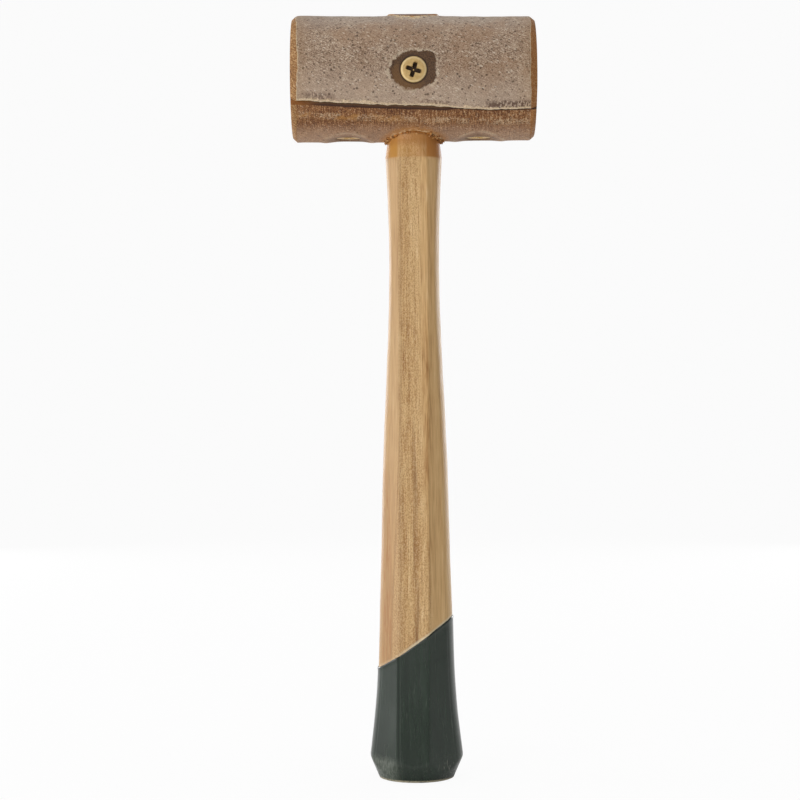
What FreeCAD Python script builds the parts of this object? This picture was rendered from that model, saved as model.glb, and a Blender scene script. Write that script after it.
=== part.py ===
"""A coiled rawhide mallet, as a parametric FreeCAD document in millimetres.

The mallet stands on its butt: +Z runs up the handle to the head, +X runs along the head from one
striking face to the other, and -Y is the front, where the head screw is. The origin is the centre
of the painted butt.
"""

import FreeCAD, Part
import math
import os

import Sketcher
from FreeCAD import Placement, Rotation, Vector

# Every driving dimension: its name in the sheet, and its value in millimetres, degrees or as a ratio.
HEAD = {
    "head_diameter": 44.45,
    "head_length": 85.5,
    "head_height": 247.7,
    "wrap_thickness": 4.4,
    "wrap_gap": 0.15,
    "lap_angle_left": 27.8,
    "lap_angle_right": 35.0,
    "end_chamfer": 2.0,
}
HANDLE = {
    "tenon_diameter": 18.4,
    "tenon_top": 269.8,
    "shoulder_top": 225.5,
    "shoulder_bottom": 219.8,
    "flat_half_width": 5.3,
    "side_half_width": 5.9,
    "depth_ratio": 0.91,
    "corner_ratio": 0.86,
    "handle_turn": -4.5,
    "butt_radius": 12.9,
    "butt_chamfer_angle": 23.5,
    "butt_trim": 3.0,
}
# Half widths of the handle across its rounded sides, from the butt up to the shoulder.
HANDLE_STATIONS = (
    ("butt", -2.0, 17.4),
    ("flare", 13.0, 15.6),
    ("grip", 27.0, 14.1),
    ("palm", 60.0, 12.8),
    ("hold", 84.0, 12.1),
    ("swell", 105.0, 11.6),
    ("taper", 150.0, 9.7),
    ("waist", 178.0, 8.85),
    ("neck", 205.0, 9.3),
    ("shoulder", 219.8, 10.03),
    ("blank_end", 230.0, 10.6),
)
COATING = {
    "film_thickness": 0.25,
    "dip_height": 48.3,
    "dip_slant": 34.6,
}
SCREWS = {
    "screw_head_diameter": 9.1,
    "screw_head_rim": 0.35,
    "screw_shank_diameter": 4.8,
    "screw_root_diameter": 3.3,
    "screw_fit_gap": 0.03,
    "screw_sink": 0.55,
    "countersink_angle": 82.0,
    "head_screw_length": 25.4,
    "coil_screw_length": 31.75,
    "coil_screw_offset": 23.1,
    "thread_pitch": 1.95,
    "recess_span": 5.4,
    "recess_arm": 1.35,
    "recess_depth": 2.5,
    "recess_taper": 8.0,
    "dimple_diameter": 16.6,
}
GLUE = {
    "glue_reach": 1.9,
    "glue_depth": 1.1,
}

doc = FreeCAD.newDocument("rawhide_mallet")
sheet = doc.addObject("Spreadsheet::Sheet", "Dims")


def fill_sheet():
    """Writes each dimension in a row of the sheet: its name, and its value under that name."""
    rows = {**HEAD, **HANDLE, **COATING, **SCREWS, **GLUE}
    for station, height, half_width in HANDLE_STATIONS:
        rows[f"{station}_height"] = height
        rows[f"{station}_half_width"] = half_width
    for row, (name, value) in enumerate(rows.items(), start=1):
        sheet.set(f"A{row}", name)
        sheet.set(f"B{row}", str(value))
        sheet.setAlias(f"B{row}", name)
    doc.recompute()


def value_of(expression):
    """The number that an expression in the sheet's names gives now."""
    return float(sheet.evalExpression(expression))


# --- sketching -----------------------------------------------------------------------------------


def new_body(name):
    return doc.addObject("PartDesign::Body", name)


def new_sketch(body, name, plane, height=None):
    """A sketch on one of the body's origin planes, or parallel to it at a height."""
    sketch = body.newObject("Sketcher::SketchObject", name)
    support = next(f for f in body.Origin.OriginFeatures if f.Role == plane)
    sketch.AttachmentSupport = (support, "")
    sketch.MapMode = "FlatFace"
    if height:
        sketch.setExpression("AttachmentOffset.Base.z", height)
    return sketch


def add_bound(sketch, name, constraint, expression):
    """Adds a constraint and binds its value to an expression."""
    index = sketch.addConstraint(constraint)
    sketch.renameConstraint(index, name)
    sketch.setExpression(f"Constraints.{name}", expression)


def pin_point(sketch, name, edge, end, across, up):
    """Holds one end of an edge at two expressions from the sketch's origin."""
    if abs(value_of(across)) < 1e-9:
        sketch.addConstraint(Sketcher.Constraint("PointOnObject", edge, end, -2))
    else:
        place = Sketcher.Constraint("DistanceX", -1, 1, edge, end, value_of(across))
        add_bound(sketch, f"{name}_across", place, across)
    if abs(value_of(up)) < 1e-9:
        sketch.addConstraint(Sketcher.Constraint("PointOnObject", edge, end, -1))
    else:
        place = Sketcher.Constraint("DistanceY", -1, 1, edge, end, value_of(up))
        add_bound(sketch, f"{name}_up", place, up)


def add_polygon(sketch, corners):
    """A closed outline of straight lines through corners given as pairs of expressions."""
    points = [Vector(value_of(across), value_of(up), 0) for across, up in corners]
    count = len(points)
    lines = [Part.LineSegment(points[i], points[(i + 1) % count]) for i in range(count)]
    edges = sketch.addGeometry(lines, False)
    for i, edge in enumerate(edges):
        after = edges[(i + 1) % count]
        sketch.addConstraint(Sketcher.Constraint("Coincident", edge, 2, after, 1))
        pin_point(sketch, f"corner{i}", edge, 1, *corners[i])


def add_circle(sketch, radius):
    """A circle about the sketch's origin."""
    circle = sketch.addGeometry(Part.Circle(Vector(0, 0, 0), Vector(0, 0, 1), value_of(radius)), False)
    sketch.addConstraint(Sketcher.Constraint("Coincident", circle, 3, -1, 1))
    add_bound(sketch, "radius", Sketcher.Constraint("Radius", circle, value_of(radius)), radius)


def revolve(body, sketch, kind="PartDesign::Revolution", axis="V_Axis"):
    """Turns a sketch a full turn about its own axis, to add material or to cut a groove."""
    feature = body.newObject(kind, f"{sketch.Name}_turn")
    feature.Profile = sketch
    feature.ReferenceAxis = (sketch, [axis])
    feature.Angle = 360.0
    return feature


def cut(name, base, tools):
    """The base with each tool in turn taken out of it."""
    for i, tool in enumerate(tools, start=1):
        last = i == len(tools)
        result = doc.addObject("Part::Cut", name if last else f"{name}_cut{i}")
        result.Base = base
        result.Tool = tool
        base = result
    return base


# --- rolled head ---------------------------------------------------------------------------------

HALF_TURNS = 9


def coil_section(body):
    """The strip seen end-on: a spiral of half circles struck from two centres, closed by a lap.

    Half turns on the back are struck from the head's axis and those on the front from a point half
    a wrap below it, so each turn is one wrap smaller than the last and all of them run smoothly on.
    """
    sketch = new_sketch(body, "coil_section", "YZ_Plane")
    radius = value_of("Dims.head_diameter / 2")
    step = value_of("Dims.wrap_thickness / 2")
    gap = value_of("Dims.wrap_gap")
    lap = math.radians(180 + value_of("Dims.lap_angle_right"))
    centre = {"front": Vector(0, -step, 0), "back": Vector(0, 0, 0)}
    span = {"front": (math.pi / 2, math.pi * 3 / 2), "back": (-math.pi / 2, math.pi / 2)}
    sides = ["front" if turn % 2 else "back" for turn in range(HALF_TURNS + 1)]

    def arc(side, size, start, end):
        circle = Part.Circle(centre[side], Vector(0, 0, 1), size)
        return sketch.addGeometry(Part.ArcOfCircle(circle, start, end), False)

    below = sketch.addGeometry(Part.Point(centre["front"]), True)
    sketch.addConstraint(Sketcher.Constraint("PointOnObject", below, 1, -2))
    drop = Sketcher.Constraint("DistanceY", -1, 1, below, 1, -step)
    add_bound(sketch, "centre_drop", drop, "-Dims.wrap_thickness / 2")
    middle = {"front": below, "back": -1}

    # Outside of the roll, from its lowest line round the back and over the top to the lap.
    outside = arc("back", radius, -math.pi / 2, lap)
    sketch.addConstraint(Sketcher.Constraint("Coincident", outside, 3, -1, 1))
    sketch.addConstraint(Sketcher.Constraint("PointOnObject", outside, 1, -2))
    add_bound(sketch, "radius", Sketcher.Constraint("Radius", outside, radius), "Dims.head_diameter / 2")

    # Face of each half turn, going inwards, and then the face that lies against it, coming out.
    inward = {}
    previous = (outside, 1)
    for turn in range(1, HALF_TURNS + 1):
        side = sides[turn]
        inward[turn] = arc(side, radius - turn * step, *span[side])
        near, far = (2, 1)
        sketch.addConstraint(Sketcher.Constraint("Coincident", inward[turn], 3, middle[side], 1))
        sketch.addConstraint(Sketcher.Constraint("Coincident", inward[turn], near, *previous))
        sketch.addConstraint(Sketcher.Constraint("PointOnObject", inward[turn], far, -2))
        previous = (inward[turn], far)

    innermost = radius - HALF_TURNS * step - step
    low = Vector(0, innermost, 0)
    core = sketch.addGeometry(Part.LineSegment(low, low + Vector(0, gap, 0)), False)
    sketch.addConstraint(Sketcher.Constraint("Coincident", core, 1, *previous))
    sketch.addConstraint(Sketcher.Constraint("Vertical", core))
    add_bound(sketch, "gap", Sketcher.Constraint("DistanceY", core, 1, core, 2, gap), "Dims.wrap_gap")

    previous = (core, 2)
    for turn in range(HALF_TURNS, 0, -1):
        side = sides[turn]
        start, end = span[side]
        if turn == 1:
            end = lap
        outward = arc(side, radius - turn * step + gap, start, end)
        sketch.addConstraint(Sketcher.Constraint("Coincident", outward, 3, middle[side], 1))
        sketch.addConstraint(Sketcher.Constraint("Coincident", outward, 1, *previous))
        if turn > 1:
            sketch.addConstraint(Sketcher.Constraint("PointOnObject", outward, 2, -2))
        previous = (outward, 2)

    # Cut edge of the lap, square to the roll.
    foot = centre["front"] + Vector(math.cos(lap), math.sin(lap), 0) * (radius - step + gap)
    lip = Vector(math.cos(lap), math.sin(lap), 0) * radius
    edge = sketch.addGeometry(Part.LineSegment(foot, lip), False)
    sketch.addConstraint(Sketcher.Constraint("Coincident", edge, 1, *previous))
    sketch.addConstraint(Sketcher.Constraint("Coincident", edge, 2, outside, 2))
    sketch.addConstraint(Sketcher.Constraint("PointOnObject", -1, 1, edge))
    slope = Sketcher.Constraint("Angle", edge, lap - math.tau)
    add_bound(sketch, "lap_angle", slope, "(Dims.lap_angle_right - 180) * 1 deg")
    return sketch


def roll_blank():
    """The rolled strip with its bore for the tenon and its two chamfered ends."""
    body = new_body("roll_blank")
    roll = body.newObject("PartDesign::Pad", "roll")
    roll.Profile = coil_section(body)
    roll.SideType = "Symmetric"
    roll.setExpression("Length", "Dims.head_length")

    bore_sketch = new_sketch(body, "bore_circle", "XY_Plane")
    add_circle(bore_sketch, "Dims.tenon_diameter / 2")
    bore = body.newObject("PartDesign::Pocket", "tenon_bore")
    bore.Profile = bore_sketch
    bore.Type = "ThroughAll"
    bore.SideType = "Symmetric"

    corner = new_sketch(body, "end_corner", "XZ_Plane")
    end, top, spare = "Dims.head_length / 2", "Dims.head_diameter / 2", "Dims.wrap_thickness / 2"
    corners = (
        (f"{end} - Dims.end_chamfer - {spare}", f"{top} + {spare}"),
        (f"{end} + {spare}", f"{top} - Dims.end_chamfer - {spare}"),
        (f"{end} + {spare}", f"{top} + {spare}"),
    )
    add_polygon(corner, corners)
    chamfer = revolve(body, corner, "PartDesign::Groove", "H_Axis")
    both = body.newObject("PartDesign::Mirrored", "both_ends")
    both.Originals = [chamfer]
    both.MirrorPlane = (corner, ["V_Axis"])
    body.Tip = both
    body.setExpression("Placement.Base.z", "Dims.head_height")
    return body


def lap_trim():
    """What comes off the free edge so that the lap slants from one end of the head to the other.

    The tool's inner face runs along the middle of the gap under the outer wrap, so it cuts that
    wrap only.
    """
    length, radius = value_of("Dims.head_length"), value_of("Dims.head_diameter / 2")
    left, right = value_of("Dims.lap_angle_left"), value_of("Dims.lap_angle_right")
    depth = value_of("Dims.wrap_thickness * 2")
    ends = []
    for side, angle in ((-1, left), (1, right)):
        lean = math.radians(angle)
        ends.append(Vector(side * length / 2, -radius * math.cos(lean), -radius * math.sin(lean)))
    along = (ends[1] - ends[0]).normalize()
    mean = math.radians((left + right) / 2)
    outward = Vector(0, -math.cos(mean), -math.sin(mean))
    downward = outward.cross(along).normalize()
    if downward.z > 0:
        downward = downward.negative()

    slab = doc.addObject("Part::Box", "lap_slab")
    slab.Length = length * 1.2
    slab.setExpression("Width", "Dims.wrap_thickness * 2")
    slab.setExpression("Height", "Dims.wrap_thickness * 2")
    turn = Rotation(along, downward, along.cross(downward), "XYZ")
    centre = (ends[0] + ends[1]) * 0.5 + Vector(0, 0, value_of("Dims.head_height"))
    corner = centre - along * (length * 0.6) - along.cross(downward) * (depth / 2)
    slab.Placement = Placement(corner, turn)

    inner = doc.addObject("Part::Cylinder", "lap_inner")
    inner.setExpression("Radius", "(Dims.head_diameter - Dims.wrap_thickness + Dims.wrap_gap) / 2")
    inner.setExpression("Height", "Dims.head_length * 2")
    inner.Placement = Placement(Vector(), Rotation(Vector(0, 1, 0), 90))
    inner.setExpression("Placement.Base.x", "-Dims.head_length")
    inner.setExpression("Placement.Base.z", "Dims.head_height - Dims.wrap_thickness / 2")
    return cut("lap_trim", slab, [inner])


# --- handle --------------------------------------------------------------------------------------


def handle_section(body, station, film):
    """One octagonal section of the handle, with flats front and back and rounded sides.

    The film is what a coating adds all round, and is "0" for the bare wood.
    """
    sketch = new_sketch(body, f"{station}_section", "XY_Plane", f"Dims.{station}_height")
    half = f"Dims.{station}_half_width"
    share = math.tan(math.radians(22.5))
    flat = f"Dims.flat_half_width + {film} * {share:.4f}"
    side = f"Dims.side_half_width + {film} * {share:.4f}"
    depth = f"{half} * Dims.depth_ratio + {film}"
    corner = f"{half} * Dims.corner_ratio + {film}"
    bulge = f"{half} * (1 - Dims.corner_ratio)"
    round_radius = f"(({side})^2 + ({bulge})^2) / (2 * {bulge})"
    corners = ((1, -1, True), (1, 1, False), (-1, 1, True), (-1, -1, False))
    outline = []
    for x_sign, y_sign, flat_first in corners:
        on_flat = (f"{x_sign} * ({flat})", f"{y_sign} * ({depth})")
        on_side = (f"{x_sign} * ({corner})", f"{y_sign} * ({side})")
        outline += [on_flat, on_side] if flat_first else [on_side, on_flat]
    points = [Vector(value_of(x), value_of(y), 0) for x, y in outline]
    crown = value_of(f"{half} + {film}")
    count = len(outline)
    edges = []
    for i in range(count):
        here, after = points[i], points[(i + 1) % count]
        if i in (1, 5):
            tip = Vector(math.copysign(crown, here.x), 0, 0)
            shape = Part.Arc(here, tip, after)
        else:
            shape = Part.LineSegment(here, after)
        edges.append(sketch.addGeometry(shape, False))
    for i, edge in enumerate(edges):
        after = edges[(i + 1) % count]
        sketch.addConstraint(Sketcher.Constraint("Coincident", edge, 2, after, 1))
        pin_point(sketch, f"corner{i}", edge, 1, *outline[i])
        if i in (1, 5):
            radius = Sketcher.Constraint("Radius", edge, value_of(round_radius))
            add_bound(sketch, f"round{i}", radius, round_radius)
    return sketch


def handle_blank(name, film, floor):
    """The long octagonal taper of the handle, with its butt turned flat and chamfered."""
    body = new_body(name)
    sections = [handle_section(body, station, film) for station, _, _ in HANDLE_STATIONS]
    taper = body.newObject("PartDesign::AdditiveLoft", f"{name}_taper")
    taper.Profile = sections[0]
    taper.Sections = sections[1:]
    taper.Ruled = False

    butt = new_sketch(body, f"{name}_butt_cut", "XZ_Plane")
    radius = f"Dims.butt_radius + {film}"
    wide = "Dims.butt_half_width * 2"
    slope = "tan(Dims.butt_chamfer_angle * 1 deg)"
    corners = (
        ("0", floor),
        ("0", "-Dims.butt_trim"),
        (wide, "-Dims.butt_trim"),
        (wide, f"({wide} - {radius}) / ({slope})"),
        (radius, floor),
    )
    add_polygon(butt, corners)
    revolve(body, butt, "PartDesign::Groove")
    body.setExpression("Placement.Rotation.Angle", "Dims.handle_turn * 1 deg")
    return body


def bare_handle():
    """The handle in bare wood: the octagonal blank, turned down to a coned shoulder and a tenon."""
    body = handle_blank("handle_blank", "0", "Dims.film_thickness")
    shoulder = new_sketch(body, "shoulder_cut", "XZ_Plane")
    tenon = "Dims.tenon_diameter / 2"
    wide = "Dims.blank_end_half_width * 2"
    slope = f"(Dims.shoulder_half_width - {tenon}) / (Dims.shoulder_top - Dims.shoulder_bottom)"
    drop = f"({wide} - {tenon}) / ({slope})"
    corners = (
        (tenon, "Dims.shoulder_top"),
        (tenon, "Dims.tenon_top"),
        (wide, "Dims.tenon_top"),
        (wide, f"Dims.shoulder_top - {drop}"),
    )
    add_polygon(shoulder, corners)
    revolve(body, shoulder, "PartDesign::Groove")

    circle = new_sketch(body, "tenon_circle", "XY_Plane", "Dims.shoulder_top")
    add_circle(circle, tenon)
    pad = body.newObject("PartDesign::Pad", "tenon")
    pad.Profile = circle
    pad.setExpression("Length", "Dims.tenon_top - Dims.shoulder_top")
    body.Tip = pad
    return body


def dipped_film(wood):
    """The coat left by dipping the butt at a slant: a thin shell, open at the slanted top."""
    blank = handle_blank("coated_blank", "Dims.film_thickness", "0")
    bath = doc.addObject("Part::Box", "bath")
    size = value_of("Dims.butt_half_width * 6")
    bath.setExpression("Length", "Dims.butt_half_width * 6")
    bath.setExpression("Width", "Dims.butt_half_width * 6")
    bath.setExpression("Height", "Dims.butt_half_width * 6")
    slant = Rotation(Vector(0, 1, 0), -value_of("Dims.dip_slant"))
    surface = Vector(0, 0, value_of("Dims.dip_height"))
    bath.Placement = Placement(surface + slant.multVec(Vector(-size / 2, -size / 2, -size)), slant)
    dipped = doc.addObject("Part::Common", "dipped_end")
    dipped.Base = blank
    dipped.Tool = bath
    return cut("grip_coating", dipped, [wood])


# --- screws --------------------------------------------------------------------------------------


def screw_cone_height(radius):
    """How deep the countersunk head is, from its rim down to the given radius."""
    return f"(Dims.screw_head_diameter / 2 - {radius}) / tan(Dims.countersink_angle / 2 * 1 deg)"


def cross_corners():
    """The twelve corners of a cross-shaped recess, going round."""
    arm, tip = "Dims.recess_arm / 2", "Dims.recess_span / 2"
    corners = []
    for across, up in ((1, 1), (-1, 1), (-1, -1), (1, -1)):
        inner = (f"{across} * {arm}", f"{up} * {arm}")
        side = (f"{across} * {tip}", f"{up} * {arm}")
        end = (f"{across} * {arm}", f"{up} * {tip}")
        corners += [side, inner, end] if across == up else [end, inner, side]
    return corners


def screw_body(name, length):
    """A flat-head wood screw: +Z leaves the head's top face at the origin, the point is at -Z."""
    body = new_body(name)
    half = new_sketch(body, f"{name}_half", "XZ_Plane")
    head = "Dims.screw_head_diameter / 2"
    shank = "Dims.screw_shank_diameter / 2"
    root = "Dims.screw_root_diameter / 2"
    cone = f"Dims.screw_head_rim + {screw_cone_height(shank)}"
    corners = (
        ("0", "0"),
        (head, "0"),
        (head, "-Dims.screw_head_rim"),
        (shank, f"-({cone})"),
        (shank, f"-{length} * 0.42"),
        (root, f"-{length} * 0.42 - ({shank} - {root})"),
        (root, f"-{length} + Dims.screw_root_diameter"),
        ("0", f"-{length}"),
    )
    add_polygon(half, corners)
    revolve(body, half)

    ridge = new_sketch(body, f"{name}_ridge", "XZ_Plane")
    start = f"-{length} + Dims.screw_root_diameter"
    corners = (
        (f"{root} * 0.9", f"{start} - Dims.thread_pitch * 0.3"),
        (shank, start),
        (f"{root} * 0.9", f"{start} + Dims.thread_pitch * 0.3"),
    )
    add_polygon(ridge, corners)
    doc.recompute()
    thread = body.newObject("PartDesign::AdditiveHelix", f"{name}_thread")
    thread.Profile = ridge
    thread.ReferenceAxis = (ridge, ["V_Axis"])
    thread.Mode = "pitch-height-angle"
    thread.setExpression("Pitch", "Dims.thread_pitch")
    thread.setExpression("Height", f"{length} * 0.58 - Dims.screw_root_diameter - Dims.thread_pitch")

    cross = new_sketch(body, f"{name}_cross", "XY_Plane")
    add_polygon(cross, cross_corners())
    recess = body.newObject("PartDesign::Pocket", f"{name}_recess")
    recess.Profile = cross
    recess.setExpression("Length", "Dims.recess_depth")
    recess.setExpression("TaperAngle", "-Dims.recess_taper * 1 deg")
    body.Tip = recess
    return body


def screw_seat(name, length):
    """The room a screw takes: its countersink, its hole, and the dimple pulled in round its head."""
    body = new_body(name)
    half = new_sketch(body, f"{name}_half", "XZ_Plane")
    head = "Dims.screw_head_diameter / 2 + Dims.screw_fit_gap"
    hole = "Dims.screw_shank_diameter / 2 + Dims.screw_fit_gap"
    cone = f"Dims.screw_head_rim + {screw_cone_height('Dims.screw_shank_diameter / 2')}"
    dimple_run = f"(Dims.dimple_diameter / 2 - ({head})) / Dims.screw_sink"
    corners = (
        ("0", "Dims.screw_sink * 4"),
        (f"{head} + {dimple_run} * Dims.screw_sink * 4", "Dims.screw_sink * 4"),
        (head, "0"),
        (head, "-Dims.screw_head_rim"),
        (hole, f"-({cone})"),
        (hole, f"-{length}"),
        ("0", f"-{length}"),
    )
    add_polygon(half, corners)
    revolve(body, half)
    return body


def place_screw(thing, across, front, depth):
    """Sets a screw or its seat in the head: from the front, or up from below."""
    if front:
        turn = Rotation(Vector(1, 0, 0), 90)
        thing.Placement = Placement(Vector(), turn)
        thing.setExpression("Placement.Base.y", f"-({depth})")
        thing.setExpression("Placement.Base.z", "Dims.head_height")
    else:
        turn = Rotation(Vector(1, 0, 0), 180)
        thing.Placement = Placement(Vector(), turn)
        thing.setExpression("Placement.Base.x", across)
        thing.setExpression("Placement.Base.z", f"Dims.head_height - ({depth})")


# --- glue ----------------------------------------------------------------------------------------


def glue_ring(coil, handle):
    """Glue squeezed out round the shoulder: a thin band that follows the round of the head."""
    skin = doc.addObject("Part::Cylinder", "glue_skin")
    skin.setExpression("Radius", "Dims.head_diameter / 2 + Dims.glue_depth")
    skin.setExpression("Height", "Dims.head_length")
    skin.Placement = Placement(Vector(), Rotation(Vector(0, 1, 0), 90))
    skin.setExpression("Placement.Base.x", "-Dims.head_length / 2")
    skin.setExpression("Placement.Base.z", "Dims.head_height")
    cone = doc.addObject("Part::Cone", "glue_cone")
    cone.setExpression("Radius1", "Dims.tenon_diameter / 2")
    cone.setExpression("Radius2", "Dims.tenon_diameter / 2 + Dims.glue_reach * 2")
    cone.setExpression("Height", "Dims.glue_depth * 4")
    cone.setExpression("Placement.Base.z", "Dims.shoulder_top - Dims.glue_depth * 1.5")
    band = doc.addObject("Part::Common", "glue_band")
    band.Base = skin
    band.Tool = cone
    return cut("glue_fillet", band, [coil, handle])


# --- the mallet ----------------------------------------------------------------------------------


def build():
    """Makes every piece and returns the ones that are written out."""
    fill_sheet()
    depth = "Dims.head_diameter / 2 - Dims.screw_sink"
    layout = (
        ("head_screw", "Dims.head_screw_length", "0", True),
        ("coil_screw_left", "Dims.coil_screw_length", "-Dims.coil_screw_offset", False),
        ("coil_screw_right", "Dims.coil_screw_length", "Dims.coil_screw_offset", False),
    )
    screws, seats = [], []
    for name, length, across, front in layout:
        screw = screw_body(name, length)
        seat = screw_seat(f"{name}_seat", length)
        for thing in (screw, seat):
            place_screw(thing, across, front, depth)
        screws.append(screw)
        seats.append(seat)

    coil = cut("rawhide_coil", roll_blank(), [lap_trim()] + seats)
    handle = cut("handle", bare_handle(), [seats[0]])
    coating = dipped_film(handle)
    glue = glue_ring(coil, handle)
    return [coil, handle, coating, glue] + screws


def check_and_write(pieces):
    """Stops at any failed object or broken shape, then writes one STEP file for each piece."""
    doc.recompute()
    for thing in doc.Objects:
        if "Invalid" in thing.State or "Error" in thing.State:
            raise RuntimeError(f"{thing.Label} has not computed: {thing.State}")
    for piece in pieces:
        shape = piece.Shape
        if shape.isNull() or not shape.isValid() or not shape.Solids:
            raise RuntimeError(f"{piece.Label} has no valid solid")
    os.makedirs("parts", exist_ok=True)
    for piece in pieces:
        piece.Shape.exportStep(f"parts/{piece.Label}.step")
        box = piece.Shape.BoundBox
        low = f"{box.XMin:.2f} {box.YMin:.2f} {box.ZMin:.2f}"
        high = f"{box.XMax:.2f} {box.YMax:.2f} {box.ZMax:.2f}"
        print(f"{piece.Label}: {piece.Shape.Volume:.1f} mm3, from {low} to {high}")


check_and_write(build())
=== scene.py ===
import math

import bmesh
import bpy
import numpy as np
from mathutils import Matrix, Vector


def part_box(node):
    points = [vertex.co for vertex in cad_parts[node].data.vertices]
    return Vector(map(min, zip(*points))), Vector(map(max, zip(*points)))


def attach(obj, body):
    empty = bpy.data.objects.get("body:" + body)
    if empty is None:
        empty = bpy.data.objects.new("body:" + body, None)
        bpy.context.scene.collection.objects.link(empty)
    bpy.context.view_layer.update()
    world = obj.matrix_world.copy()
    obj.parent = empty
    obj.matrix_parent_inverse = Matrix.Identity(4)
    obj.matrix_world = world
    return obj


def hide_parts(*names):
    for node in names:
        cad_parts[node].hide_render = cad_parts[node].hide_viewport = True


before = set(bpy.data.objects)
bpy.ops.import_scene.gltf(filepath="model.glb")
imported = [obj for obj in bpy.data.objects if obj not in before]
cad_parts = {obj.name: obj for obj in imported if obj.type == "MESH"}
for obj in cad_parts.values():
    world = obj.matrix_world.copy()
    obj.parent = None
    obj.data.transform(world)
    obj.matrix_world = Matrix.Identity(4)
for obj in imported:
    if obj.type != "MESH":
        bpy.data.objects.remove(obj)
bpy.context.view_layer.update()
MM = 0.001

# --- Rolled hide head ---
# One long strip of rawhide, wetted, rolled tight round itself and dried hard. The free edge of the
# strip ends in a lap across the lower front, and both ends of the roll are sawn and chamfered.

head_low, head_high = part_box("rawhide_coil")
HEAD_HALF = (head_high[0] - head_low[0]) / 2
HIDE_DRYING = 0.22 * MM
HEAD_RADIUS = (head_high[1] - head_low[1]) / 2 - HIDE_DRYING
HEAD_Z = (head_high[2] + head_low[2]) / 2
HALF_WRAP = 2.2 * MM
WRAP_GAP = 0.15 * MM
LAST_TURN, CORE_OFFSET = 1980.0, 1.9 * MM
RADIUS_TAPER = 0.010
CHAMFER = 1.35 * MM
BEVEL_FRONT, BEVEL_CREST = 2.5 * MM, 1.5 * MM
# The lap's edge, in millimetres along the head and degrees below level.
LAP_LINE = (
    (-42.75, 27.4), (-29.0, 29.2), (-11.0, 31.9), (7.0, 33.8), (14.0, 35.4), (22.0, 37.1),
    (31.0, 37.6), (42.75, 36.9),
)
TENON_RADIUS = 9.2 * MM
UNDER_SCREWS = (-23.1 * MM, 23.1 * MM)
SCREW_RADIUS = 4.55 * MM
FACE_LEVEL = -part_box("head_screw")[0][1]
# The screws underneath are driven deeper than the front one, with the hide drawn in round them.
UNDER_LEVEL, UNDER_SINK = FACE_LEVEL - 0.95 * MM, 0.50 * MM
DIMPLE_RADIUS = 8.8 * MM
SCREW_HOLE_DEPTH, TENON_HOLE_DEPTH = 1.4 * MM, 2.4 * MM


def smooth_line(knots, places):
    """A natural cubic through knots given as pairs, read at the places."""
    x, y = (np.array(column, float) for column in zip(*knots))
    gap = np.diff(x)
    slope = np.diff(y) / gap
    count = len(x)
    rows = np.eye(count)
    right = np.zeros(count)
    for i in range(1, count - 1):
        rows[i, i - 1:i + 2] = gap[i - 1], 2 * (gap[i - 1] + gap[i]), gap[i]
        right[i] = 6 * (slope[i] - slope[i - 1])
    bend = np.linalg.solve(rows, right)
    i = np.clip(np.searchsorted(x, places) - 1, 0, count - 2)
    t = places - x[i]
    cubic = (bend[i + 1] - bend[i]) / (6 * gap[i])
    linear = slope[i] - gap[i] * (2 * bend[i] + bend[i + 1]) / 6
    return y[i] + t * (linear + t * (bend[i] / 2 + t * cubic))


def unevenness(points, size, seed):
    """A smooth random field over points, about -1 to 1, with bumps of the given size."""
    rng = np.random.default_rng(seed)
    total = np.zeros(len(points))
    for _ in range(14):
        lean = rng.normal(size=3)
        lean *= (0.6 + 0.8 * rng.random()) * math.tau / (size * 2 * np.linalg.norm(lean))
        total += np.sin(points @ lean + rng.random() * math.tau)
    return total / math.sqrt(14)


def ease(value, start, end):
    """0 before start, 1 after end, and a smooth rise between."""
    t = np.clip((value - start) / (end - start), 0, 1)
    return t * t * (3 - 2 * t)


def soft_min(a, b, blend):
    """The smaller of two sizes, with the corner between them rounded."""
    h = np.clip(0.5 + 0.5 * (b - a) / blend, 0, 1)
    return b + (a - b) * h - blend * h * (1 - h)


def wrap_radius(angle):
    """From the head's axis to the strip's outer face, at degrees along the strip from the bottom."""
    half_turn = np.maximum(np.floor(np.asarray(angle, float) / 180) - 1, 0)
    radius = HEAD_RADIUS - half_turn * HALF_WRAP
    around = np.radians(angle)
    across = HALF_WRAP * np.sin(around)
    from_below = HALF_WRAP * np.cos(around) + np.sqrt(np.maximum(radius ** 2 - across ** 2, 0))
    return np.where(half_turn % 2 == 1, from_below, radius)


def new_piece(name, points, faces, marks=None, crease=32.0, merge=0.0):
    """A mesh object, smooth but for its creases, with a value at each point for each mark."""
    mesh = bpy.data.meshes.new(name)
    mesh.from_pydata([tuple(p) for p in points], [], faces)
    for mark, values in (marks or {}).items():
        layer = mesh.attributes.new(mark, "FLOAT", "POINT")
        layer.data.foreach_set("value", np.asarray(values, dtype=np.float32))
    work = bmesh.new()
    work.from_mesh(mesh)
    if merge:
        bmesh.ops.remove_doubles(work, verts=work.verts, dist=merge)
        bmesh.ops.dissolve_degenerate(work, edges=work.edges, dist=merge)
    bmesh.ops.recalc_face_normals(work, faces=work.faces)
    work.to_mesh(mesh)
    work.free()
    for face in mesh.polygons:
        face.use_smooth = True
    mesh.set_sharp_from_angle(angle=math.radians(crease))
    piece = bpy.data.objects.new(name, mesh)
    bpy.context.scene.collection.objects.link(piece)
    return piece


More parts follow.
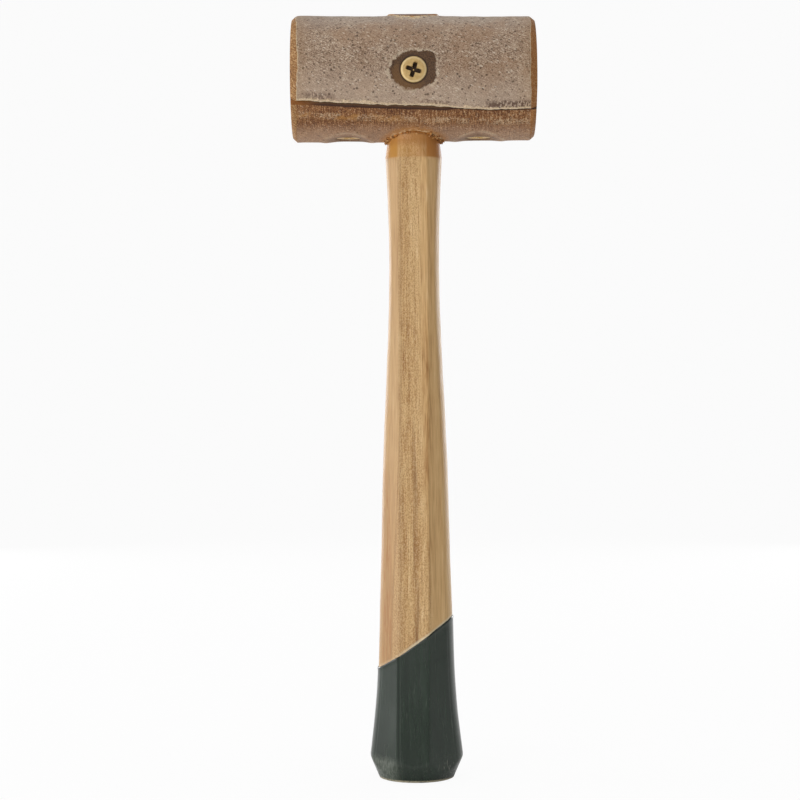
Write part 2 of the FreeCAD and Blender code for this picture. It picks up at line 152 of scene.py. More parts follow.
def lofted(rings, closed=True):
    """Points and faces of rings of equal count, joined one after another, with their ends closed."""
    count, last = len(rings[0]), len(rings) - 1
    built = [
        (row * count + i, row * count + (i + 1) % count,
         (row + 1) * count + (i + 1) % count, (row + 1) * count + i)
        for row in range(last) for i in range(count)]
    flat = np.concatenate(rings)
    if closed:
        foot, top = len(flat), len(flat) + 1
        flat = np.concatenate([flat, [rings[0].mean(axis=0), rings[-1].mean(axis=0)]])
        built += [(foot, (i + 1) % count, i) for i in range(count)]
        built += [(top, last * count + i, last * count + (i + 1) % count) for i in range(count)]
    return flat, built


def lap_angle(x):
    """Where the lap's edge is at a place along the head, in degrees up the front from the bottom."""
    return 90 - smooth_line(LAP_LINE, x / MM)


# Stations round the roll, as arc lengths from the lap's edge, and along it.
TURN = math.tau * HEAD_RADIUS / MM
round_stations = np.concatenate([
    np.arange(0, 6, 0.3), np.arange(6, 50, 0.42), np.arange(50, 94, 0.75),
    np.arange(94, 128, 0.42), np.linspace(128, TURN, 40),
])
ROUND = len(round_stations)
end_rows = np.arange(0, 2.9, 0.25) * MM
mid_rows = np.linspace(-HEAD_HALF + 3.0 * MM, HEAD_HALF - 3.0 * MM, 206)
along_stations = np.concatenate([-HEAD_HALF + end_rows, mid_rows, (HEAD_HALF - end_rows)[::-1]])
ALONG = len(along_stations)

# Lines that run the length of the lap: down its cut edge, into the gap below it, and back out.
LAP_EXTRAS = 4
GAP_OPEN_LEFT, GAP_LESS_RIGHT = 0.45, 0.33
LIP_LIFT, LIP_ROUNDING = 0.16 * MM, 0.12 * MM
LIP_REACH, FOOT_REACH = 1.2 * MM, 0.8 * MM


def skin_rings():
    """Every skin point's angle, its distance from the axis, and its distance round from the lap."""
    x = along_stations[:, None]
    inset = HEAD_HALF - np.abs(x)
    start = lap_angle(along_stations)[:, None]
    line = np.stack([along_stations, np.zeros(ALONG), np.zeros(ALONG)], axis=1)
    ragged = 0.09 * unevenness(line, 0.7 * MM, 3) + 0.08 * unevenness(line, 2.2 * MM, 4)
    ragged = ragged * MM * ease(inset[:, 0], 0, 2 * MM)
    share = round_stations[None, :] / TURN
    arc = round_stations[None, :] * MM
    near_lip = np.exp(-arc / LIP_REACH)
    near_foot = np.exp(-(TURN * MM - arc) / FOOT_REACH)
    angle = start + 360 * share + np.degrees(ragged[:, None] / HEAD_RADIUS) * near_lip
    radius = wrap_radius(angle)
    openness = (GAP_OPEN_LEFT - GAP_LESS_RIGHT * ease(x, -HEAD_HALF, HEAD_HALF * 0.6)) * MM
    radius = radius - openness * near_foot
    radius = radius - LIP_ROUNDING * np.exp(-arc / (0.25 * MM))
    radius = radius + LIP_LIFT * near_lip * (0.6 + 0.4 * unevenness(line, 5 * MM, 5)[:, None])

    fade = ease(inset, 0.0, 2.4 * MM)
    foot = wrap_radius(start + 360) - openness
    under = foot + WRAP_GAP + openness * 0.6
    deep = wrap_radius(start + 366)
    body = (
        (start + 0.10, under),
        (start + 5.5, deep + WRAP_GAP),
        (start + 6.0, deep + WRAP_GAP / 2),
        (start + 5.5, deep),
    )
    rim = HEAD_RADIUS - CHAMFER
    notch = (
        (start + 0.35, rim - 0.06 * MM),
        (start + 0.15, rim - 0.16 * MM),
        (start, rim - 0.24 * MM),
        (start - 0.15, rim - 0.16 * MM),
    )
    extra_angle, extra_radius = (
        [low[k] + (high[k] - low[k]) * fade for low, high in zip(notch, body)] for k in (0, 1))
    open_out = 0.5 * (1 - fade)
    angle[:, 0:1] += open_out
    angle[:, -1:] -= open_out

    wide, tall = (
        np.concatenate([skin[:, -1:]] + extras[::-1] + [skin[:, :-1]], axis=1)
        for skin, extras in ((angle, extra_angle), (radius, extra_radius)))
    arc_line = np.concatenate([[TURN], np.zeros(LAP_EXTRAS), round_stations[:-1]])
    return wide, tall, np.broadcast_to(arc_line, wide.shape)


ring_angle, ring_radius, ring_arc = skin_rings()
RING = ring_angle.shape[1]
spot = np.stack([
    np.repeat(along_stations, RING),
    -np.sin(np.radians(ring_angle)).ravel() * HEAD_RADIUS,
    -np.cos(np.radians(ring_angle)).ravel() * HEAD_RADIUS,
], axis=1)
waves = (0.10 * unevenness(spot, 13 * MM, 11) + 0.035 * unevenness(spot, 3.2 * MM, 12)) * MM
facing_out = np.abs(spot[:, 1]) / HEAD_RADIUS
bevel_width = BEVEL_CREST + (BEVEL_FRONT - BEVEL_CREST) * facing_out ** 2
bevel_width *= 1 + 0.10 * unevenness(spot, 9 * MM, 13) + 0.04 * unevenness(spot, 1.5 * MM, 14)
x_all = spot[:, 0]
inset_all = HEAD_HALF - np.abs(x_all)
radius_all = ring_radius.ravel() + waves * ease(inset_all, 0, 3 * MM)
bevel = HEAD_RADIUS - CHAMFER + inset_all * CHAMFER / bevel_width
is_extra = np.zeros(RING, bool)
is_extra[1:1 + LAP_EXTRAS] = True
extra_all = np.tile(is_extra, ALONG)
in_gap = np.minimum(radius_all, bevel - 0.2 * MM)
radius_all = np.where(extra_all, in_gap, soft_min(radius_all, bevel, 0.35 * MM))
radius_all = radius_all * (1 - RADIUS_TAPER * x_all / HEAD_HALF)


def round_point(x, angle, radius):
    """Points from their place along the head, angle up the front, and distance from its axis."""
    turn = np.radians(angle)
    return np.stack([x, -radius * np.sin(turn), HEAD_Z - radius * np.cos(turn)], axis=-1)


def pull_in_screws(points):
    """Sinks the hide round each screw, and under its head."""
    out = points.copy()
    # Each is its centre, the axis it is sunk along, the two across it, how far out its head is,
    # how high the lip round the hollow stands, and how wide the hole is.
    sites = [((0, 0, HEAD_Z), 1, 0, 2, FACE_LEVEL - 0.10 * MM, 0.16 * MM, 0.96)]
    for x in UNDER_SCREWS:
        sites.append(((x, 0, HEAD_Z), 2, 0, 1, UNDER_LEVEL + UNDER_SINK, 0.22 * MM, 1.10))
    for centre, depth, across, up, level, lip, mouth in sites:
        reach = np.hypot(out[:, across] - centre[across], out[:, up] - centre[up])
        side = centre[depth] - out[:, depth]
        pull = 1 - ease(reach, SCREW_RADIUS * 1.05, DIMPLE_RADIUS)
        sunk = np.minimum(side, side + (level - side) * pull)
        sunk = sunk + lip * np.exp(-((reach - DIMPLE_RADIUS) / (1.1 * MM)) ** 2)
        hole = 1 - ease(reach, SCREW_RADIUS * (mouth - 0.22), SCREW_RADIUS * mouth)
        sunk = sunk - SCREW_HOLE_DEPTH * hole
        out[:, depth] = np.where(side > HEAD_RADIUS * 0.5, centre[depth] - sunk, out[:, depth])
    return out


def open_for_tenon(points):
    """Opens the crest of the roll for the tenon's end, with a slightly raised, torn edge round it."""
    out = points.copy()
    reach = np.hypot(points[:, 0], points[:, 1])
    top = points[:, 2] > HEAD_Z
    edge = TENON_RADIUS - 0.06 * MM
    on_edge = np.abs(reach - edge) < 0.2 * MM
    for axis in (0, 1):
        moved = points[:, axis] * edge / np.maximum(reach, 1e-6)
        out[:, axis] = np.where(top & on_edge, moved, out[:, axis])
    inside = top & (reach < edge - 0.19 * MM)
    out[:, 2] -= np.where(inside, TENON_HOLE_DEPTH, 0)
    past_edge = np.maximum(reach - TENON_RADIUS, 0)
    outside = reach > TENON_RADIUS - 0.2 * MM
    torn = np.exp(-past_edge / (0.8 * MM)) * (0.5 + 0.5 * unevenness(points, 1.6 * MM, 21))
    lift = torn * np.where(outside, 0.38, 0.0) * MM
    swell = 0.42 * MM * np.exp(-past_edge / (2.2 * MM))
    swell *= ease(np.abs(points[:, 1]), 3 * MM, 8 * MM) * outside
    out[:, 2] += np.where(top, lift + swell, -lift * 1.2 * (reach < 14 * MM))
    return out


skin_points = open_for_tenon(pull_in_screws(round_point(x_all, ring_angle.ravel(), radius_all)))
_, faces = lofted(skin_points.reshape(ALONG, RING, 3), closed=False)

# Marks for the finish: how far each point is from the lap, along the strip, and what is sawn or gap.
arc_all = ring_arc.ravel()
seam_mark = np.where(arc_all > TURN / 2, arc_all - TURN, arc_all)
marks = {
    "seam": np.where(extra_all, 0.0, seam_mark),
    "gap": np.where(extra_all, 1.0, 0.0),
    "arc": ring_angle.ravel() / 360 * TURN * MM,
    "sawn": 1 - ease(inset_all / bevel_width, 0.9, 1.08),
    "kerf": np.zeros(len(skin_points)),
    "wrap": np.zeros(len(skin_points)),
}
points = [skin_points]
total = len(skin_points)

# The gap between turns, as it shows in the sawn ends.
KERF_HALF, KERF_DEPTH = 0.09 * MM, 1.1 * MM


def end_face(row, outward, seed):
    """The sawn end: one ribbon from the rim to the core, with the gap between its turns as a groove."""
    global total
    ring = row * RING
    # Column 0 of the ring is the foot of the lap, and column 1 + LAP_EXTRAS its edge.
    columns = [ring + 1 + LAP_EXTRAS + i for i in range(ROUND - 1)]
    angles = ring_angle[row, 1 + LAP_EXTRAS:]
    per_turn = len(columns)
    rim = HEAD_RADIUS - CHAMFER

    def column_angle(index):
        return float(angles[index % per_turn]) + 360 * (index // per_turn)

    def groove(index):
        return float(wrap_radius(column_angle(index))) + WRAP_GAP / 2

    first = next(i for i in range(per_turn, 2 * per_turn) if groove(i) < rim - 0.02 * MM)
    last = next(i for i in range(4 * per_turn, 8 * per_turn) if column_angle(i) >= LAST_TURN)
    new_points, kerfs = [], []

    def add(index, radius, depth, kerf):
        x = outward * (HEAD_HALF - depth)
        new_points.append((x, column_angle(index), radius * (1 - RADIUS_TAPER * outward)))
        kerfs.append(kerf)
        return total + len(new_points) - 1

    def opened(index):
        return min(1.0, (column_angle(index) - column_angle(first)) / 50)

    bottoms = {}
    for index in range(first + 1, last + 1):
        bottoms[index] = add(index, groove(index), KERF_DEPTH * opened(index) + 0.05 * MM, 1.0)
    bottoms[first] = columns[first % per_turn]

    ripple = np.random.default_rng(seed).random(3) * math.tau
    bands = {}
    for index in range(first - per_turn + 1, last - per_turn + 1):
        outer_open = opened(index) if index > first else 0.0
        outer = groove(index) - KERF_HALF * outer_open if index > first else rim
        inner = groove(index + per_turn) + KERF_HALF * opened(index + per_turn)
        width = max(outer - inner, 0.01 * MM)
        shoulder = min(0.38 * MM, width * 0.22)
        turn = column_angle(index) / 360
        rise = 0.05 * MM * math.sin(turn * 9 + ripple[0]) + 0.04 * MM * math.sin(turn * 23 + ripple[1])
        rise += 0.09 * MM * math.sin(math.floor(turn + 0.4) * 2.1 + ripple[2])
        rise *= min(1.0, width / (2 * MM))
        soft = 0.12 * MM * min(1.0, width / MM)
        face = 0.01 * MM - rise
        levels = [(outer, soft, 0.75 * outer_open), (outer - shoulder, face, 0.0)]
        if index <= first:
            levels = [(outer - width * 0.2, 0.01 * MM, 0.0), (outer - width * 0.35, face, 0.0)]
        levels += [
            ((outer + inner) / 2, -rise * 1.2 - 0.02 * MM, 0.0),
            (inner + shoulder, face, 0.0),
            (inner, soft, 0.75 * opened(index + per_turn)),
        ]
        bands[index] = [add(index, *level) for level in levels]

    def outer_edge(index):
        return bottoms[index] if index > first else columns[index % per_turn]

    begin = first - per_turn
    chain = [outer_edge(begin + 1)] + bands[begin + 1] + [bottoms[first + 1]]
    for a, b in zip(chain, chain[1:]):
        faces.append((columns[begin % per_turn], a, b))
    for index in range(begin + 1, last - per_turn):
        here = [outer_edge(index)] + bands[index] + [bottoms[index + per_turn]]
        after = [outer_edge(index + 1)] + bands[index + 1] + [bottoms[index + 1 + per_turn]]
        start = 0
        if index < first and (index + 1) % per_turn == 0:
            # The lap's foot, gap and edge all meet the rim between these two columns.
            fan = [here[0], *range(ring, ring + 1 + LAP_EXTRAS), after[0]]
            for a, b in zip(fan, fan[1:]):
                faces.append((a, b, after[1]))
            faces.append((here[0], after[1], here[1]))
            start = 1
        for i in range(start, len(here) - 1):
            faces.append((here[i], here[i + 1], after[i + 1], after[i]))

    core = add(last, 0.0, 0.02 * MM, 0.0)
    loop = [bottoms[i] for i in range(last - per_turn, last + 1)]
    loop += bands[last - per_turn][::-1]
    for a, b in zip(loop, loop[1:] + loop[:1]):
        faces.append((core, a, b))

    table = np.array(new_points)
    wraps = table[:, 1] / 360
    table[-1, 1:] = 300.0, CORE_OFFSET
    points.append(round_point(*table.T))
    count = len(table)
    added = {
        "seam": np.full(count, 40.0), "gap": np.zeros(count), "arc": table[:, 1] / 360 * TURN * MM,
        "sawn": np.full(count, 2.0), "kerf": kerfs, "wrap": wraps,
    }
    for mark, values in added.items():
        marks[mark] = np.concatenate([marks[mark], values])
    total += count


end_face(0, -1, 31)
end_face(ALONG - 1, 1, 32)

hide_roll = new_piece("hide_roll", np.concatenate(points), faces, marks, crease=38, merge=2e-6)


class Signal:
    """A value in a finish: arithmetic on it adds Math nodes, and node() adds any other kind."""

    def __init__(self, tree, socket=None):
        self.tree = tree
        self.socket = socket

    def node(self, kind, settings, sockets, output=0):
        made = self.tree.nodes.new("ShaderNode" + kind)
        for name, value in settings.items():
            if name == "stops":
                stops = made.color_ramp.elements
                while len(stops) < len(value):
                    stops.new(0.5)
                for stop, (place, colour) in zip(stops, value):
                    stop.position = place
                    stop.color = colour
            else:
                setattr(made, name, value)
        for name, value in sockets.items():
            if isinstance(value, Signal):
                self.tree.links.new(value.socket, made.inputs[name])
            else:
                made.inputs[name].default_value = value
        return Signal(self.tree, made.outputs[output] if made.outputs else None)

    def math(self, operation, first, second=0.0):
        return self.node("Math", {"operation": operation}, {0: first, 1: second})

    def __add__(self, other):
        return self.math("ADD", self, other)

    __radd__ = __add__

    def __sub__(self, other):
        return self.math("SUBTRACT", self, other)

    def __rsub__(self, other):
        return self.math("SUBTRACT", other, self)

    def __mul__(self, other):
        return self.math("MULTIPLY", self, other)

    __rmul__ = __mul__

    def __abs__(self):
        return self.math("ABSOLUTE", self)

    def __pow__(self, power):
        return self.math("POWER", self, power)

    def fade(self, start, end):
        """0 at start and 1 at end, smoothly; start may be the larger."""
        return self.node("MapRange", {"interpolation_type": "SMOOTHSTEP"},
                         {"Value": self, "From Min": start, "From Max": end})

    def tint(self, bare, covered):
        """One colour where this mask is 0 and another where it is 1."""
        return self.node("Mix", {"data_type": "RGBA"}, {0: self, 6: bare, 7: covered}, output=2)

    def stain(self, mask, strength, red, green, blue):
        """This colour with another over it, as strong as given where the mask is 1."""
        return (mask * strength).tint(self, tone(red, green, blue))

    def ramp(self, *stops):
        """Colours for this value: each stop is its place and its red, green and blue."""
        stops = [(place, tone(*colour)) for place, *colour in stops]
        return self.node("ValToRGB", {"stops": stops}, {"Fac": self})

    def squeezed(self, size, stretch):
        """This place, scaled for a pattern's features to be of a size in metres, and stretched."""
        squeeze = tuple(1 / (size * s) for s in stretch)
        return self.node("VectorMath", {"operation": "MULTIPLY"}, {0: self, 1: squeeze})

    def grain(self, size, stretch=(1, 1, 1), detail=3.0, rough=0.55):
        """Cloudy noise over this place."""
        return self.node("TexNoise", {}, {
            "Vector": self.squeezed(size, stretch), "Scale": 1.0, "Detail": detail, "Roughness": rough})

    def spots(self, size, stretch=(1, 1, 1), flat=False):
        """How far this place is from the nearest of many scattered dots: 0 at a dot."""
        return self.node("TexVoronoi", {"voronoi_dimensions": "2D" if flat else "3D"},
                         {"Vector": self.squeezed(size, stretch), "Scale": 1.0})

    def parts(self):
        return [self.node("SeparateXYZ", {}, {0: self}, output=axis) for axis in range(3)]

    def joined(self, *parts):
        return self.node("CombineXYZ", {}, dict(enumerate(parts)))

    def marks(self, *names):
        """The values that the mesh carries under these names."""
        return [self.node("Attribute", {"attribute_name": name}, {}, output=2)
                for name in names]


def tone(red, green, blue):
    """A colour given in display values of 0 to 255, as Blender's linear ones."""
    shares = (red / 255, green / 255, blue / 255)
    linear = [c / 12.92 if c <= 0.04 else ((c + 0.055) / 1.055) ** 2.4 for c in shares]
    return (*linear, 1.0)


def away(across, along):
    """The distance from a centre, from the distances across and along."""
    return (across * across + along * along) ** 0.5


def start_finish(name):
    """A new material's first signal, and the place on the piece that its patterns are drawn from."""
    material = bpy.data.materials.new(name)
    material.use_nodes = True
    material.node_tree.nodes.clear()
    begin = Signal(material.node_tree)
    place = begin.node("TexCoord", {}, {}, output=3)
    return material, begin, place


def end_finish(begin, height, reach, sockets):
    """Closes a finish: its shader, with a bump of the given reach, and its output."""
    normal = begin.node("Bump", {}, {"Strength": 1.0, "Distance": reach, "Height": height})
    shader = begin.node("BsdfPrincipled", {}, {**sockets, "Normal": normal})
    begin.node("OutputMaterial", {}, {"Surface": shader})


def hide_finish():
    """Dry rawhide: mottled taupe outside, browner under the lap, amber where it is sawn."""
    material, begin, place = start_finish("hide")
    seam, gap, sawn, kerf, wrap, arc = begin.marks("seam", "gap", "sawn", "kerf", "wrap", "arc")
    x, y, z = place.parts()
    unrolled = begin.joined(x, arc, 0.0)

    cloud = place.grain(0.016, detail=5, rough=0.6)
    patch = place.grain(0.0045, detail=4, rough=0.6)
    fine = place.grain(0.00040, detail=2, rough=0.75)
    slant = begin.node("VectorRotate", {"rotation_type": "AXIS_ANGLE"},
                       {"Vector": unrolled, "Axis": (0.0, 0.0, 1.0), "Angle": 0.5})
    fibres = slant.grain(0.00042, stretch=(5, 1, 1), rough=0.65)
    pits = unrolled.spots(0.0022, flat=True)
    pit_size = place.grain(0.0024, detail=1)
    flecks = slant.spots(0.0019, stretch=(2.2, 1, 1), flat=True)
    fleck_patch = place.grain(0.005)

    value = 0.5 + (cloud - 0.5) * 0.45 + (patch - 0.5) * 0.25 + (fine - 0.5) * 2.0 + (fibres - 0.5) * 1.3
    outside = value.ramp(
        (0.08, 88, 64, 46), (0.32, 131, 104, 83), (0.52, 161, 135, 111),
        (0.72, 183, 160, 137), (0.95, 218, 202, 180))
    # Painted sheen: the hide is lighter grey towards the crest of the head, as light from above glances
    # off it.
    crest = z.fade(HEAD_Z + 0.013, HEAD_Z + 0.021)
    outside = outside.stain(crest, 0.35, 196, 184, 172)
    warmth = place.grain(0.012)
    outside = outside.stain(warmth.fade(0.48, 0.66), 0.4, 158, 122, 90)
    # Painted light: the hide is made paler in a band above the lap's edge, for light from low in front
    # that falls there.
    painted_light_by_lap = seam.fade(17.0, 3.0) * seam.fade(-0.01, 0.01)
    outside = outside.stain(painted_light_by_lap, 0.45, 200, 178, 157)
    holes = (pits + (pit_size - 0.5) * 0.50).fade(0.145, 0.06)
    outside = outside.stain(holes, 0.72, 70, 48, 34)
    outside = outside.stain(flecks.fade(0.15, 0.06) * fleck_patch.fade(0.42, 0.56), 0.6, 222, 208, 188)
    near_end = abs(x).fade(0.033, HEAD_HALF)
    outside = outside.stain(near_end, 0.35, 160, 122, 80)

    scratch = unrolled.grain(0.00042, stretch=(1, 9, 1), rough=0.7)
    brown = 0.5 + (cloud - 0.5) * 0.5 + (patch - 0.5) * 0.3 + (fine - 0.5) * 2.0 + (scratch - 0.5) * 1.6
    under = brown.ramp(
        (0.12, 78, 43, 18), (0.40, 119, 74, 38), (0.58, 143, 94, 53),
        (0.78, 176, 130, 84), (0.97, 214, 184, 144))
    scuff_row = seam.fade(-4.2, -5.2) * seam.fade(-8.0, -6.2)
    scuff = place.grain(0.00045, stretch=(1.5, 1, 1), detail=2, rough=0.8).fade(0.47, 0.58)
    scuff = scuff * place.grain(0.005).fade(0.36, 0.52)
    under = under.stain(scuff_row * scuff, 0.7, 212, 184, 146)
    amber = scuff_row * place.grain(0.006, detail=2).fade(0.48, 0.62) * x.fade(0.0, -0.010)
    under = under.stain(amber, 0.5, 190, 134, 66)
    notches = unrolled.grain(0.0007, stretch=(1, 6, 1), detail=2, rough=0.5).fade(0.56, 0.66)
    notches = notches * seam.fade(-1.6, -2.8) * seam.fade(-8.5, -5.0) * x.fade(-0.004, 0.010)
    under = under.stain(notches, 0.6, 206, 174, 134)
    lower = z.fade(HEAD_Z - 0.0165, HEAD_Z - 0.0215)
    under = (lower * 0.55).tint(under, outside)
    under = under.stain(lower, 0.36, 204, 164, 132)
    under = under.stain(holes, 0.35, 74, 46, 28)
    speckle = flecks.fade(0.14, 0.05) * fleck_patch.fade(0.36, 0.50)
    under = under.stain(speckle, 0.42, 214, 184, 148)
    below = seam.fade(-0.01, -0.03) * seam.fade(-34.0, -24.0)
    colour = below.tint(outside, under)

    # Dark line in the gap under the lap, wider and more open to the left: partly stain, partly painted
    # shadow under the lip, and ochre at the far left as painted light showing through the gap. Also the
    # lap's pale torn edge.
    gap_width = 1.02 + x.fade(0.016, 0.009) * 1.10 + (place.grain(0.0016) - 0.5) * 0.35
    shade = (seam + gap_width).fade(-0.10, 0.20) * seam.fade(0.02, -0.02)
    gap_shadow_and_light = (seam + gap_width).fade(0.45, 1.15).tint(tone(58, 28, 6), tone(92, 62, 36))
    # Painted light: ochre at the far left, where light shows through the gap.
    gap_shadow_and_light = x.fade(-0.031, -0.0415).tint(gap_shadow_and_light, tone(140, 84, 26))
    lip_noise = place.grain(0.0014, stretch=(2, 1, 1), detail=4, rough=0.7)
    lip_reach = 0.42 + lip_noise.fade(0.40, 0.66) * 1.3
    lip = (seam - lip_reach).fade(0.15, -0.1) * seam.fade(0.0, 0.04) * lip_noise.fade(0.28, 0.40)
    # The lap's torn edge is pale from its raw fibre, and painted paler still as a highlight along the
    # lip.
    torn_edge_and_highlight = fine.fade(0.3, 0.7).tint(tone(190, 162, 126), tone(236, 214, 180))
    colour = (lip * 0.85).tint(colour, torn_edge_and_highlight)
    scuffed = x.fade(-0.041, -0.036) * x.fade(-0.025, -0.031) * 0.7
    scuffed = scuffed + x.fade(0.022, 0.027) * x.fade(0.043, 0.040)
    burn = seam.fade(0.5, 1.1) * seam.fade(4.2, 2.2) * scuffed
    burn_noise = unrolled.grain(0.0008, stretch=(1, 2.2, 1), rough=0.6)
    colour = colour.stain(burn * burn_noise.fade(0.42, 0.52), 0.85, 84, 56, 42)
    middle = x.fade(0.001, 0.004) * x.fade(0.014, 0.010) * seam.fade(0.6, 1.2) * seam.fade(2.6, 1.8)
    colour = colour.stain(middle * burn_noise.fade(0.44, 0.54), 0.7, 96, 66, 48)

    # Stained hollow round the front screw, with a paler crescent at its lower left, and a painted shadow
    # ring round the screw's head.
    front = y.fade(0.0, -0.010)
    wobble = (place.grain(0.0012, detail=4, rough=0.7) - 0.5) * 0.0034
    wobble = wobble + (place.grain(0.005, detail=1) - 0.5) * 0.002
    up = z - HEAD_Z
    corner = away(x - 0.0062, up - 0.0052).fade(0.0042, 0.0)
    foot = away(x - 0.0066, up + 0.0034).fade(0.0040, 0.0)
    reach = ((x * x + up * up * 1.45) ** 0.5) + wobble - corner * 0.0022 - foot * 0.0012
    soiled = reach.fade(0.0082, 0.0076) * front
    fringe = reach.fade(0.0079, 0.0083) * reach.fade(0.0096, 0.0086) * front * lip_noise.fade(0.44, 0.52)
    colour = colour.stain(fringe, 0.6, 204, 186, 160)
    colour = (soiled * 0.95).tint(colour, fine.fade(0.3, 0.7).tint(tone(56, 36, 20), tone(100, 68, 38)))
    inner = away(x + 0.0011, up + 0.0010) + wobble * 0.5
    side = (x * -0.6 - up * 0.8).fade(0.0005, 0.0035)
    colour = colour.stain(inner.fade(0.0066, 0.0056) * front * side, 0.6, 124, 88, 50)
    # Painted shadow: a dark ring round the screw's head.
    rim_shade = away(x, up).fade(0.0053, 0.0047) * front
    colour = colour.stain(rim_shade, 0.8, 40, 24, 12)

    # Amber halo where glue has soaked in round the handle.
    ring = away(x, y) + wobble
    soaked = ring.fade(0.0138, 0.0100) * z.fade(HEAD_Z - 0.010, HEAD_Z - 0.018)
    colour = colour.stain(soaked, 0.8, 182, 122, 56)
    torn = ring.fade(0.0112, 0.0098) * place.grain(0.0010, detail=4).fade(0.45, 0.55)
    colour = colour.stain(torn, 0.75, 222, 196, 152)

    # Painted shade in the hollows round the two screws underneath, and a painted highlight on each one's
    # rim.
    cup = away(abs(x) - UNDER_SCREWS[1], y) + wobble * 0.4
    below_head = z.fade(HEAD_Z, HEAD_Z - 0.015)
    colour = colour.stain(cup.fade(0.0080, 0.0062) * below_head, 0.5, 104, 78, 54)
    cup_rim_highlight = cup.fade(0.0080, 0.0085) * cup.fade(0.0096, 0.0089) * below_head * patch.fade(0.38, 0.52)
    colour = colour.stain(cup_rim_highlight, 0.4, 206, 184, 154)

    # Sawn ends: layers of fibre that follow the spiral, dark in the gap between the turns.
    layers = begin.joined(wrap * 0.03, y, z).grain(0.0011, detail=5, rough=0.7)
    turns = begin.joined(wrap * 0.004, 0.0, 0.0).grain(0.0007, detail=2)
    sawn_value = 0.5 + (layers - 0.5) * 0.9 + (turns - 0.5) * 0.8 + (fine - 0.5) * 0.6
    cut_face = sawn_value.ramp(
        (0.15, 112, 70, 30), (0.42, 160, 110, 56), (0.60, 184, 138, 80),
        (0.85, 214, 178, 124))
    cut_face = kerf.fade(0.2, 0.95).tint(cut_face, tone(48, 28, 14))
    bevel_face = value.ramp(
        (0.15, 104, 64, 28), (0.45, 150, 104, 56), (0.65, 176, 132, 82), (0.9, 206, 172, 126))
    bevel_face = bevel_face.stain(x.fade(-0.030, 0.030), 0.5, 152, 92, 30)
    hem = sawn.fade(0.02, 0.2) * sawn.fade(0.8, 0.4) * lip_noise.fade(0.32, 0.44) * seam.fade(-1.0, 0.5)
    colour = sawn.fade(0.35, 0.75).tint(colour, bevel_face)
    colour = colour.stain(hem, 0.7, 206, 186, 152)
    # Painted shadow, partly stain, on the skin below the lip and on the gap's own faces.
    colour = (shade * 0.96).tint(colour, gap_shadow_and_light)
    colour = gap.fade(0.05, 0.55).tint(colour, gap_shadow_and_light)
    colour = sawn.fade(1.2, 1.7).tint(colour, cut_face)

    height = (fine - 0.5) * 0.6 + (fibres - 0.5) * 0.5 + (patch - 0.5) * 0.5 + pits.fade(0.0, 0.16) * 0.3
    rough = 0.62 + (fine - 0.5) * 0.5 + soiled * 0.1
    end_finish(begin, height, 0.00035, {
        "Base Color": colour, "Roughness": rough, "Specular IOR Level": 0.4})
    return material


hide_roll.data.materials.append(hide_finish())
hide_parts("rawhide_coil")
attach(hide_roll, "root")

# --- Handle ---
# A straight length of pale hardwood, shaped to an octagon with two rounded sides. Its upper end is
# turned down to a coned shoulder and a round tenon, which goes right through the head.

HANDLE_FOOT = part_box("handle")[0][2]
TENON_PROUD, TENON_EDGE = 0.80 * MM, 0.25 * MM
SHOULDER_TOP, SHOULDER_DROP, SHOULDER_RADIUS = 225.5 * MM, 5.7 * MM, 10.03 * MM
# Heights up the handle and its half width at each, in millimetres.
HALF_WIDTHS = (
    (-2.0, 17.4), (13.0, 15.6), (27.0, 14.1), (60.0, 12.8), (84.0, 12.1), (105.0, 11.6),
    (150.0, 9.7), (178.0, 8.85), (205.0, 9.3), (219.8, 10.03), (230.0, 10.6),
)
FLAT_HALF, SIDE_HALF, CORNER_ROUNDING = 5.3 * MM, 5.9 * MM, 0.55 * MM
DEPTH_RATIO, CORNER_RATIO = 0.91, 0.86
HANDLE_TURN = math.radians(-4.5)
BUTT_RADIUS = 12.9 * MM
BUTT_SLOPE = math.tan(math.radians(23.5))
DIP_HEIGHT, DIP_SLOPE = 48.3 * MM, 0.69


def fillet(before, at, after):
    """The rounding of one corner, without its two ends."""
    steps = [t / 5 for t in range(1, 5)]
    return [before.lerp(at, t).lerp(at.lerp(after, t), t) for t in steps]


def octagon(half_width, skin=0.0):
    """One section of the handle, as points in order round it from the middle of the front."""
    grow = skin * math.tan(math.radians(22.5))
    flat, side = FLAT_HALF + grow, SIDE_HALF + grow
    depth = half_width * DEPTH_RATIO + skin
    shoulder = half_width * CORNER_RATIO + skin
    bulge = half_width - half_width * CORNER_RATIO
    first, second = Vector((flat, -depth)), Vector((shoulder, -side))
    level = Vector((CORNER_ROUNDING, 0))
    slant = (second - first).normalized() * CORNER_ROUNDING
    inward = Vector((shoulder + bulge * 0.62, -side * 0.5)) - second
    line = [Vector((0, -depth)).lerp(first - level, t / 6) for t in range(7)]
    line += fillet(first - level, first, first + slant)
    line += [(first + slant).lerp(second - slant, t / 8) for t in range(9)]
    line += fillet(second - slant, second, second + inward.normalized() * CORNER_ROUNDING)
    radius = (side ** 2 + bulge ** 2) / (2 * bulge)
    centre = shoulder + bulge - radius
    swing = math.asin(side / radius) * 0.90
    line += [Vector((centre + radius * math.cos(a), -radius * math.sin(a)))
             for a in (swing * (1 - t / 8) for t in range(9))]
    ring = [(p.x, p.y) for p in line] + [(p.x, -p.y) for p in line[-2::-1]]
    ring += [(-p.x, -p.y) for p in line[1:]] + [(-p.x, p.y) for p in line[-2:0:-1]]
    return np.array(ring)


def turned(flat_points):
    """Turns points about the handle's axis by the small angle that it is fitted at."""
    c, s = math.cos(HANDLE_TURN), math.sin(HANDLE_TURN)
    x, y = flat_points[..., 0], flat_points[..., 1]
    return np.stack([x * c - y * s, x * s + y * c], axis=-1)


def limited(section, limit, blend):
    """A section kept inside a circle, with the corner where they meet rounded."""
    reach = np.linalg.norm(section, axis=1)
    return section * (soft_min(reach, np.full(len(reach), limit), blend) / reach)[:, None]


